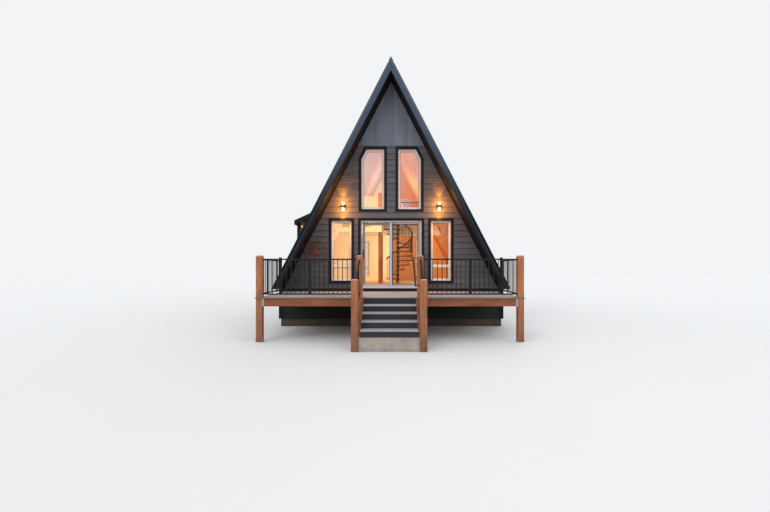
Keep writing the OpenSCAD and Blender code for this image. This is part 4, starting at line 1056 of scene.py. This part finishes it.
class CABIN_OT_trim(bpy.types.Operator):
    """Boards at the dormer's corners, the dormer's fascias and the board under the door"""

    bl_idname = "cabin.trim"
    bl_label = "Corner and edge boards"

    def execute(self, context):
        w, t, chamfer = 0.09, 0.022, 0.003
        top = edge("dormer_side_wall", 1, "z") - 0.01
        x = DORMER_X
        parts = []
        for y, out in ((DORMER_Y0, -1), (DORMER_Y1, 1)):
            for to, x1, seed in ((y + out * t, x + w, 11), (y - out * w, x, 12)):
                parts.append(plank((x - t, min(y, to), FLOOR), (x1, max(y, to), top), 2, chamfer, seed))
        parts.append(plank((-SIDE + CORNER_W, FRONT - 0.02, DECK + 0.002),
                           (SIDE - CORNER_W, FRONT, FLOOR - 0.004), 0, chamfer, 13))
        low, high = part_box("dormer_roof")
        run, depth = high.x - low.x, 0.15
        eave_z = high.z - DORMER_SLOPE * run - depth / 2 + 0.02
        for y, out in ((low.y, -1), (high.y, 1)):
            start = np.array([low.x + 0.034, y + out * t / 2, eave_z])
            end = start + np.array([1.0, 0.0, DORMER_SLOPE]) * (run - 0.04) * 0.995
            parts.append(boards(start, end, depth / math.hypot(1, DORMER_SLOPE), t, chamfer, seed=14))
        put("edge_boards", parts, "trim_board")
        return {"FINISHED"}


# Roof

def spread(low, high, pitch):
    """Even places from one end to the other, 50 mm in, at most a pitch apart."""
    count = math.ceil((high - low - 0.1) / pitch)
    return np.linspace(low + 0.05, high - 0.05, count + 1)


def seam_strip(starts, ends, normal, width, rise):
    """Standing seams: a twelve-point outline, a narrow fin with a folded top,
    carried from start to end. Normal is the way that the fin stands."""
    starts, ends = np.atleast_2d(starts), np.atleast_2d(ends)
    ahead = ends - starts
    ahead = ahead / np.linalg.norm(ahead, axis=1)[:, None]
    normal = np.asarray(normal, float)
    across = np.cross(ahead, normal)
    a = np.array([-1.6, -0.9, -0.9, -1.25, -1.25, -0.9, 0.9, 1.25, 1.25, 0.9, 0.9, 1.6]) * width
    b = np.array([0.0, 0.1, 0.62, 0.66, 0.94, 1.0, 1.0, 0.94, 0.66, 0.62, 0.1, 0.0]) * rise
    ends_pair = np.stack([starts, ends], axis=1)
    points = ends_pair[:, :, None] + across[:, None, None] * a[:, None] + normal * b[:, None]
    run = np.linalg.norm(ends_pair - starts[:, None], axis=-1)
    return skin(points, run[..., None], (a + b)[None, None])


class CABIN_OT_roof(bpy.types.Operator):
    """Standing seams on both slopes and on the dormer's roof"""

    bl_idname = "cabin.roof"
    bl_label = "Roof seams"

    def execute(self, context):
        pitch, rise = context.scene.cabin_sizes.seam_pitch, context.scene.cabin_sizes.seam_rise
        low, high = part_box("dormer_roof")
        join_z = RIDGE + high.x / RUN
        join_x = -outer_x(join_z)
        top, foot = edge("ridge_cap", 0, "z") - 0.006, FLOOR + 0.056
        all_y = spread(ROOF_FRONT, ROOF_REAR, pitch)
        cut = (all_y > low.y - 0.012) & (all_y < high.y + 0.012)
        behind = (all_y > DORMER_Y0 - 0.012) & (all_y < DORMER_Y1 + 0.012)

        def seams(y, x0, z0, x1, z1, normal, rise):
            """Seams at every y, from (x0, z0) to (x1, z1)."""
            return seam_strip(columns(x0, y, z0), columns(x1, y, z1), normal, 0.008, rise)

        def slope_seams(side, y, z0, z1):
            """Seams on one slope, between two heights."""
            normal = (side / SLOPE, 0.0, RUN / SLOPE)
            return seams(y, side * outer_x(z0), z0, side * outer_x(z1), z1, normal, rise)

        under = edge("roof_left_upper", 0, "z") - 0.056
        put("roof_seams", [
            slope_seams(1, all_y, top, foot),
            slope_seams(-1, all_y[~cut], top, foot),
            slope_seams(-1, all_y[cut], top, join_z + 0.012),
            slope_seams(-1, all_y[cut & ~behind], under, foot)], "roof_seam")
        lean = math.hypot(1, DORMER_SLOPE)
        x0, x1 = join_x - 0.02, low.x + 0.028
        z0, z1 = (join_z + DORMER_SLOPE * (x - join_x) for x in (x0, x1))
        normal = (-DORMER_SLOPE / lean, 0.0, 1.0 / lean)
        y = spread(low.y, high.y, pitch)
        put("dormer_seams", [seams(y, x0, z0, x1, z1, normal, rise * 0.8)], "roof_seam")
        return {"FINISHED"}


# Windows and door

# Outlines of frames, sashes and gaskets, as ring_sweep takes them
FRAME_RING = [(0.0, 0.025), (0.033, 0.025), (0.036, 0.028), (0.036, 0.112), (0.033, 0.115), (0.0, 0.115)]
SASH_RING = [(0.0, 0.036), (0.02, 0.036), (0.023, 0.039), (0.032, 0.052), (0.032, 0.088), (0.023, 0.101),
             (0.02, 0.104), (0.0, 0.104)]
GASKET = [(0.0, 0.0585), (0.004, 0.0575), (0.006, 0.06), (0.006, 0.08), (0.004, 0.0825), (0.0, 0.0815)]


def window(loop, panes, place):
    """A fixed frame round the opening, and round each pane a sash and a gasket."""
    rings = [ring_sweep(loop, FRAME_RING, *place)]
    rings += [ring_sweep(grown(pane, 0.032), SASH_RING, *place) for pane in panes]
    return rings, [ring_sweep(pane, GASKET, *place) for pane in panes]


def cross_rail(loop, origin, right, inward):
    """The rail between two sashes, as a board from side to side."""
    (x0, z0), (x1, z1) = np.min(loop, axis=0), np.max(loop, axis=0)
    mid = np.asarray(origin) + np.asarray(inward) * 0.07 + np.array([0.0, 0.0, (z0 + z1) / 2])
    return boards(mid + np.asarray(right) * x0, mid + np.asarray(right) * x1, z1 - z0, 0.086, 0.002)


def mirrored(corners):
    """A loop on the other side of the middle, still anticlockwise."""
    return [(-x, z) for x, z in corners][::-1]


class CABIN_OT_windows(bpy.types.Operator):
    """Window frames, sashes and gaskets round every pane"""

    bl_idname = "cabin.windows"
    bl_label = "Windows"

    def execute(self, context):
        w, x0, x1, z0, z1 = FRAME_W, WIN_X0, WIN_X1, WIN_SILL, edge("side_window_frames", 1, "z")
        low_rail, high_rail = z0 + 0.385, z0 + 0.485
        side = [rectangle(x0, z0, x1, z1),
                rectangle(x0 + w, z0 + w, x1 - w, low_rail), rectangle(x0 + w, high_rail, x1 - w, z1 - w),
                rectangle(x0 + 0.034, low_rail + 0.03, x1 - 0.034, high_rail - 0.03)]
        u1, s0, s1 = (edge("upper_window_frames", *at) for at in ((1, "x"), (0, "z"), (1, "z")))
        u0, corner = u1 - UPPER_W, inner_x(s1) - UPPER_IN * SLOPE
        upper = [(u0, s0), (u1, s0), (u1, s1 - (u1 - corner) / RUN), (corner, s1), (u0, s1)]
        pane = grown(upper, -w)
        turns = [(place, turn) for place in ENDS for turn in (list, mirrored)]
        turns.append((DORMER_WALL, lambda loop: [(x - (x0 + x1) / 2, z) for x, z in loop]))
        rings, seals, upper_rings = [], [], []
        for place, turn in turns:
            loop, low_pane, high_pane, rail = (turn(part) for part in side)
            made = window(loop, [low_pane, high_pane], place)
            rings += made[0] + [cross_rail(rail, *place)]
            seals += made[1]
        for place, turn in turns[:4]:
            made = window(turn(upper), [turn(pane)], place)
            upper_rings += made[0]
            seals += made[1]
        put("side_window_profiles", rings, "window", replaced="side_window_frames")
        put("upper_window_profiles", upper_rings, "window", replaced="upper_window_frames")
        put("window_gaskets", seals, "seal")
        return {"FINISHED"}


DOOR_SASH = [(0.0, 0.003), (0.003, 0.0), (0.058, 0.0), (0.062, 0.003), (0.066, 0.003), (0.076, 0.009),
             (0.076, 0.029), (0.066, 0.035), (0.062, 0.035), (0.058, 0.038), (0.003, 0.038), (0.0, 0.035)]
DOOR_GASKET = [(0.0, 0.006), (0.003, 0.005), (0.006, 0.009), (0.006, 0.029), (0.003, 0.033), (0.0, 0.032)]


class CABIN_OT_door(bpy.types.Operator):
    """The door's frame with its tracks, and its two sashes"""

    bl_idname = "cabin.door"
    bl_label = "Sliding door"

    def execute(self, context):
        place = ENDS[0]
        low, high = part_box("door_frame")
        jamb, sill = 0.038, 0.04
        ring = [(0.0, 0.0), (0.03, 0.0), (0.034, 0.004), (0.034, 0.024), (jamb, 0.026), (jamb, 0.114),
                (0.034, 0.116), (0.034, 0.136), (0.03, 0.14), (0.0, 0.14)]
        x0, x1 = low.x + 0.034, high.x - 0.034
        y, z = FRONT, low.z
        parts = [ring_sweep(rectangle(low.x, low.z, high.x, high.z), ring, *place),
                 plank((x0, y + 0.002, z + 0.004), (x1, y + 0.138, z + sill - 0.003), 0, 0.002, 22)]
        for track, up in ((0.014, 0.0), (0.048, -0.002), (0.092, 0.0)):
            y = FRONT + track
            for z in (low.z + sill + up - 0.009, high.z - jamb + 0.001):
                parts.append(plank((x0, y - 0.002, z), (x1, y + 0.002, z + 0.008), 0, 0.0006, 21))
        put("door_frame_profile", parts, "window", replaced="door_frame")
        for node, body, lift in (("fixed_sash", "cabin", 0.0), ("sliding_sash", "sliding_door", 0.0057)):
            low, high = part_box(node)
            foot, back, name = low.z + lift, low.y - FRONT, node + "_profile"
            ring = [(a, b + back) for a, b in DOOR_SASH]
            parts = [ring_sweep(rectangle(low.x, foot, high.x, high.z), ring, *place)]
            if lift:
                y, z = low.y, low.z
                parts += [plank((x, y + 0.012, z), (x + 0.04, y + 0.026, z + 0.02), 0, 0.002, 23)
                          for x in (low.x + 0.1, high.x - 0.14)]
            put(name, parts, "sash", body, node)
            loop = rectangle(low.x + 0.076, foot + 0.076, high.x - 0.076, high.z - 0.076)
            ring = [(a, b + back) for a, b in DOOR_GASKET]
            put(name + "_gasket", [ring_sweep(loop, ring, *place)], "seal", body)
        return {"FINISHED"}


# Deck and stair

class CABIN_OT_deck(bpy.types.Operator):
    """Deck boards, rims, joists, posts, treads and risers as separate boards"""

    bl_idname = "cabin.deck"
    bl_label = "Deck and stair boards"

    def execute(self, context):
        sizes = context.scene.cabin_sizes
        chamfer = sizes.chamfer
        low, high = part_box("deck_surface")
        count = round((high.y - low.y) / (sizes.deck_board + sizes.deck_gap))
        pitch = (high.y - low.y) / count
        y = low.y + pitch * np.arange(count)
        butt = np.where(np.arange(count) % 2 == 0, -0.62, 1.01)
        parts = []
        for x0, x1 in ((low.x, butt - 0.001), (butt + 0.001, high.x)):
            highs = columns(x1, y + pitch - sizes.deck_gap, high.z)
            parts.append(plank(columns(x0, y, low.z), highs, 0, 0.003, 31 + len(parts)))
        put("deck_boards", parts, "deck", replaced="deck_surface")

        low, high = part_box("stair_treads")
        depth, rise, drop, nosing = 0.279, 0.15, 0.03, 0.025
        rim = DECK_FRONT + nosing
        treads, risers = [], []
        foot = edge("stair_risers", 0, "z")
        for i in range(5):
            face, top = rim - i * depth, DECK - i * rise
            if i:
                front, back = face - nosing, face + depth
                mid = (front + back - 0.02) / 2
                for a, b in ((front, mid - 0.0025), (mid + 0.0025, back - 0.004)):
                    treads.append(plank((low.x, a, top - drop), (high.x, b, top), 0, 0.003, 40 + i))
            bottom = max(foot, top - rise - drop)
            under = top - (drop if i else nosing)
            risers.append(plank((low.x, face, bottom), (high.x, face + 0.018, under), 0, 0.002, 50 + i))
        put("tread_boards", treads, "deck", replaced="stair_treads")
        put("riser_boards", risers, "riser", replaced="stair_risers")

        low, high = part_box("deck_rims")
        post, t = 0.146, 0.038
        post_x = edge("timber_posts", 1, "x") - post / 2
        stair_x = edge("stair_stringers", 1, "x") + post / 2
        parts = []
        for side in (-1, 1):
            for a, b, y0, y1, axis, seed in (
                    (stair_x + post / 2, post_x - post / 2, rim, rim + t, 0, 60),
                    (post_x + post / 2, post_x + post / 2 - t, rim + post, FRONT, 1, 63)):
                xs = sorted((side * a, side * b))
                parts.append(plank((xs[0], y0, low.z), (xs[1], y1, high.z), axis, chamfer, seed + side))
        parts.append(plank((-stair_x + post / 2, rim + 0.018, low.z),
                           (stair_x - post / 2, rim + 0.018 + t, high.z), 0, chamfer, 66))
        put("rim_boards", parts, "rim", replaced="deck_rims")

        reach = post_x - post / 2
        number = int((reach - t) / 0.406)
        x = 0.406 * np.arange(-number, number + 1)
        start = rim + np.select([abs(x) < stair_x - 0.089, abs(x) < stair_x + 0.089], [0.056, post], t)
        lows = columns(x - t / 2, start + 0.003, low.z)
        highs = columns(x + t / 2, FRONT - t - 0.003, high.z)
        put("joist_boards", [plank((-reach, FRONT - t, low.z), (reach, FRONT, high.z), 0, chamfer, 70),
                             plank(lows, highs, 1, chamfer, 71)], "rim", replaced="deck_joists")

        shoe, low, high = 0.006, *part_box("timber_posts")
        xs = np.array([-post_x, -stair_x, stair_x, post_x, -stair_x, stair_x])
        ys = np.array([rim + post / 2] * 4 + [low.y + post / 2] * 2)
        starts, ends = columns(xs, ys, shoe), columns(xs, ys, [high.z] * 4 + [LOW_POST] * 2)
        posts = boards(starts, ends, post, post, 0.008, (1.0, 0.0, 0.0), 80, top=0.024)
        put("deck_posts", [posts], "post", replaced="timber_posts")
        return {"FINISHED"}


def helix_grip(centre, reach, radius):
    """The wooden grip round the spiral handrail. At step t from 0 to 12 its
    middle is turned by SPIRAL_FIRST + t SPIRAL_TURN degrees about the pole and
    stands at FLOOR + SPIRAL_RAIL + (t + 0.5) rise, rise being a thirteenth of
    the loft's height. A ring of ten points stands square to that line, and the
    ends are drawn in to domes."""
    rise, step, rings = (LOFT - FLOOR) / 13, math.radians(SPIRAL_TURN), 148
    t = np.linspace(-0.1, 12.1, rings)
    turn = math.radians(SPIRAL_FIRST) + step * t
    outward = columns(np.cos(turn), np.sin(turn), 0.0)
    middle = reach * outward + columns(centre[0], centre[1], FLOOR + SPIRAL_RAIL + (t + 0.5) * rise)
    ahead = columns(-reach * np.sin(turn), reach * np.cos(turn), rise / step)
    ahead = ahead / np.linalg.norm(ahead, axis=1)[:, None]
    upward = np.cross(outward, ahead)
    angle = np.linspace(0, 2 * math.pi, 10, endpoint=False)[:, None]
    near_end = np.minimum(np.arange(rings), np.arange(rings)[::-1])
    girth = radius * np.array([0.35, 0.75, 0.95, 1.0])[np.minimum(near_end, 3)][:, None, None]
    points = middle[:, None] + girth * (outward[:, None] * np.cos(angle) + upward[:, None] * np.sin(angle))
    return skin(points, (t * math.hypot(reach * step, rise))[:, None], angle.T * radius)


class CABIN_OT_room(bpy.types.Operator):
    """The posts in the room as sawn timber, and the spiral stair's wooden grip"""

    bl_idname = "cabin.room"
    bl_label = "Room timber"

    def execute(self, context):
        low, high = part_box("loft_posts")
        post = 0.14
        x0 = -WELL_X - post
        places = ((x0, low.y), (x0, high.y - post), (high.x - post, high.y - post))
        parts = [plank((x, y, low.z), (x + post, y + post, LOFT - 0.4), 2, 0.004, 90 + i)
                 for i, (x, y) in enumerate(places)]
        parts.append(plank((x0, low.y, LOFT), (x0 + post, low.y + post, high.z), 2, 0.004, 94))
        put("room_posts", parts, "inner_post", replaced="loft_posts")
        middle = sum(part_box("spiral_pole"), Vector()) / 2
        put("spiral_grip", [helix_grip(middle, 0.621, 0.027)], "grip", smooth=True)
        return {"FINISHED"}


class CABIN_OT_lamps(bpy.types.Operator):
    """The glowing ends of the wall lights, and the light that they throw"""

    bl_idname = "cabin.lamps"
    bl_label = "Wall lights"

    def execute(self, context):
        out, h = 0.09, 0.0925
        spots = [(s * LAMP_X, FRONT - out, LAMP_Z) for s in (-1, 1)]
        spots.append((-SIDE + 0.18, DORMER_Y0 - out, edge("wall_lights", 0, "z") + h))
        band = [(0.001, -0.032), (0.048, -0.032), (0.051, -0.029), (0.051, 0.029), (0.048, 0.032),
                (0.001, 0.032)]
        rim = [(0.045, -0.007), (0.05, -0.007), (0.052, -0.005), (0.052, -0.001), (0.05, 0.0), (0.045, 0.0),
               (0.045, -0.007)]
        glass = [(0.001, 0.03), (0.042, 0.03), (0.044, 0.034), (0.044, h + 0.004), (0.036, h + 0.018),
                 (0.001, h + 0.024)]
        angle = np.radians([45, 135, 225, 315])
        bodies, glasses = [], []
        for i, (x, y, z) in enumerate(spots):
            power = 1.0 if i < 2 else 0.03
            warm = colours().lamp
            bodies.append(turned(band, (x, y, z), 28))
            for side in (-1, 1):
                bodies.append(turned(rim, (x, y, z + side * h + (0.007 if side < 0 else 0.0)), 28))
                glasses.append(turned([(r, side * up) for r, up in glass][::side], (x, y, z), 24))
                number = (i, side + 1)
                place = (x, y - 0.11, z + side * (h + 0.05))
                lamp("wall_light_%d_%d" % number, "POINT", place, 15.0 * power, warm, 0.04)
                place = (x, y - 0.02, z + side * (h + 0.045))
                turn = (math.pi if side > 0 else 0.0, 0.0, 0.0)
                lamp("wall_beam_%d_%d" % number, "SPOT", place, 100.0 * power, warm, 0.03, turn)
            rods = columns(x + 0.0485 * np.cos(angle), y + 0.0485 * np.sin(angle), z - h + 0.003)
            tops = rods + (0, 0, 2 * h - 0.006)
            bodies.append(boards(rods, tops, 0.005, 0.005, 0.001, (1.0, 0.0, 0.0), 95))
            centre = np.array([x, y, z])
            for low, high, axis, chamfer, seed in (
                    ((-0.055, out - 0.02, -0.055), (0.055, out - 0.001, 0.055), 2, 0.003, 96),
                    ((-0.018, 0.04, -0.015), (0.018, out - 0.019, 0.015), 1, 0.002, 97)):
                bodies.append(plank(centre + low, centre + high, axis, chamfer, seed))
        put("wall_light_bodies", bodies, "metal", replaced="wall_lights")
        put("wall_light_glasses", glasses, "lamp", smooth=True)
        return {"FINISHED"}


def lamp(name, kind, place, power, colour, size, turn=(0.0, 0.0, 0.0)):
    """A lamp of the scene. Its size is a sun's angle or a bulb's radius."""
    data = bpy.data.lights.new(name, kind)
    data.energy = power
    data.color = colour[:3]
    if kind == "SUN":
        data.angle = size
    else:
        data.shadow_soft_size = size
    if kind == "SPOT":
        data.spot_size = math.radians(72)
        data.spot_blend = 1.0
    made = bpy.data.objects.new(name, data)
    made.location = place
    made.rotation_euler = turn
    bpy.context.scene.collection.objects.link(made)


# The frame's own nodes by their finish
COATS = {
    "concrete": "foundation_ends foundation_sides",
    "footing": "stair_footing",
    "wall": "skirt_ends skirt_sides front_wall_left front_wall_right front_wall_upper rear_wall "
            "dormer_cheeks dormer_side_wall",
    "gable": "gable_panels",
    "trim": "frieze_boards opening_trims skirt_corners",
    "fascia": "rake_fascia_left rake_fascia_right",
    "roof": "roof_right roof_left_ends roof_left_upper",
    "roof_seam": "ridge_cap",
    "dormer_cover": "dormer_roof",
    "floor": "main_floor loft_floor loft_walkway",
    "cream": "loft_half_wall loft_beams",
    "glass": "side_window_glass fixed_glass sliding_glass",
    "upper_glass": "upper_window_glass",
    "metal": "door_handle loft_guard deck_railings stair_railings stair_handrail",
    "spiral": "spiral_pole spiral_treads spiral_railing",
    "sash": "screen_frame",
    "screen": "screen_mesh",
    "steel": "post_steel",
    "rust": "wall_ornament",
    "stringer": "stair_stringers",
}


class CABIN_OT_finishes(bpy.types.Operator):
    """Materials on the frame's own nodes"""

    bl_idname = "cabin.finishes"
    bl_label = "Frame finishes"

    def execute(self, context):
        for coat, nodes in COATS.items():
            for node in nodes.split():
                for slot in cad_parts[node].material_slots:
                    slot.material = finish(coat)
        return {"FINISHED"}


class CABIN_OT_stage(bpy.types.Operator):
    """Pale floor, soft light and the camera at the photograph's place"""

    bl_idname = "cabin.stage"
    bl_label = "Stage"

    def execute(self, context):
        scene = context.scene
        mesh = bpy.data.meshes.new("stage_floor")
        r = 120.0
        mesh.from_pydata([(-r, -r, 0), (r, -r, 0), (r, r, 0), (-r, r, 0)], [], [(0, 1, 2, 3)])
        floor = bpy.data.objects.new("stage_floor", mesh)
        scene.collection.objects.link(floor)
        mesh.materials.append(self.floor_paint())
        self.world(scene)
        for name, place, power, colour in (("soft_key", (-9.0, -16.0, 14.0), 0.73, (1.0, 0.98, 0.95)),
                                           ("soft_fill", (12.0, -12.0, 8.0), 0.48, (0.94, 0.97, 1.0)),
                                           ("soft_back", (7.0, 16.0, 12.0), 0.36, (0.97, 0.98, 1.0))):
            aim = Vector((0.0, 0.0, 2.5)) - Vector(place)
            turn = aim.to_track_quat("-Z", "Y").to_euler()
            lamp(name, "SUN", place, power, colour, math.radians(40), turn)
        for name, place, power in (("room_light", (-0.6, FRONT + 2.2, 3.1), 95.0),
                                   ("loft_light", (0.3, FRONT + 6.2, 5.3), 50.0),
                                   ("rear_light", (0.9, FRONT + 6.6, 2.9), 80.0)):
            lamp(name, "POINT", place, power, paint(255, 249, 236), 0.25)
        data = bpy.data.cameras.new("camera")
        data.sensor_width = 36.0
        data.lens = 36.0 * FOCAL / PICTURE_W
        data.shift_x = -0.0135
        data.shift_y = 0.0182
        data.clip_end = 500.0
        camera = bpy.data.objects.new("camera", data)
        camera.location = (0.128, FRONT - 12.05, DECK + 0.645)
        camera.rotation_euler = (math.pi / 2, 0.0, 0.0)
        scene.collection.objects.link(camera)
        scene.camera = camera
        scene.view_settings.view_transform = "Standard"
        return {"FINISHED"}

    def floor_paint(self):
        """Pale floor that the camera sees brighter than the light makes it."""
        f = Finish("stage_floor")
        fine = f.noise(f.place()[0], 6.0, 2.0)
        tone = f.blend(f.seen(), (0.42, 0.42, 0.42), (0.93, 0.94, 0.95))
        return f.coat(tone, 0.85 + fine * 0.1, fine, 0.0005, 0.1)

    def world(self, scene):
        """An even sky: the object is lit by one level and the camera sees white."""
        world = bpy.data.worlds.new("studio")
        shader = Shader(world, "BACKGROUND")
        strength = shader.number("ShaderNodeMapRange", {}, {0: shader.seen(), 3: 0.74, 4: 0.915})
        shader.set(shader.surface.inputs["Strength"], strength)
        shader.set(shader.surface.inputs["Color"], (0.97, 0.985, 1.0))
        scene.world = world


class CABIN_PT_panel(bpy.types.Panel):
    """Sizes, colours and the steps that make the cabin"""

    bl_label = "A-frame cabin"
    bl_idname = "CABIN_PT_panel"
    bl_space_type = "VIEW_3D"
    bl_region_type = "UI"
    bl_category = "Cabin"

    def draw(self, context):
        for group in (context.scene.cabin_sizes, context.scene.cabin_colours):
            box = self.layout.box()
            for key in group.__annotations__:
                box.prop(group, key)
        for operator in OPERATORS:
            self.layout.operator(operator.bl_idname)


OPERATORS = (CABIN_OT_siding, CABIN_OT_trim, CABIN_OT_roof, CABIN_OT_windows, CABIN_OT_door, CABIN_OT_deck,
             CABIN_OT_room, CABIN_OT_lamps, CABIN_OT_finishes, CABIN_OT_stage)
CLASSES = (CabinSizes, CabinColours, *OPERATORS, CABIN_PT_panel)


def register():
    for cls in CLASSES:
        bpy.utils.register_class(cls)
    bpy.types.Scene.cabin_sizes = bpy.props.PointerProperty(type=CabinSizes)
    bpy.types.Scene.cabin_colours = bpy.props.PointerProperty(type=CabinColours)


def unregister():
    del bpy.types.Scene.cabin_colours
    del bpy.types.Scene.cabin_sizes
    for cls in reversed(CLASSES):
        bpy.utils.unregister_class(cls)


def main():
    register()
    for operator in OPERATORS:
        group, name = operator.bl_idname.split(".")
        getattr(getattr(bpy.ops, group), name)()


if __name__ == "__main__":
    main()
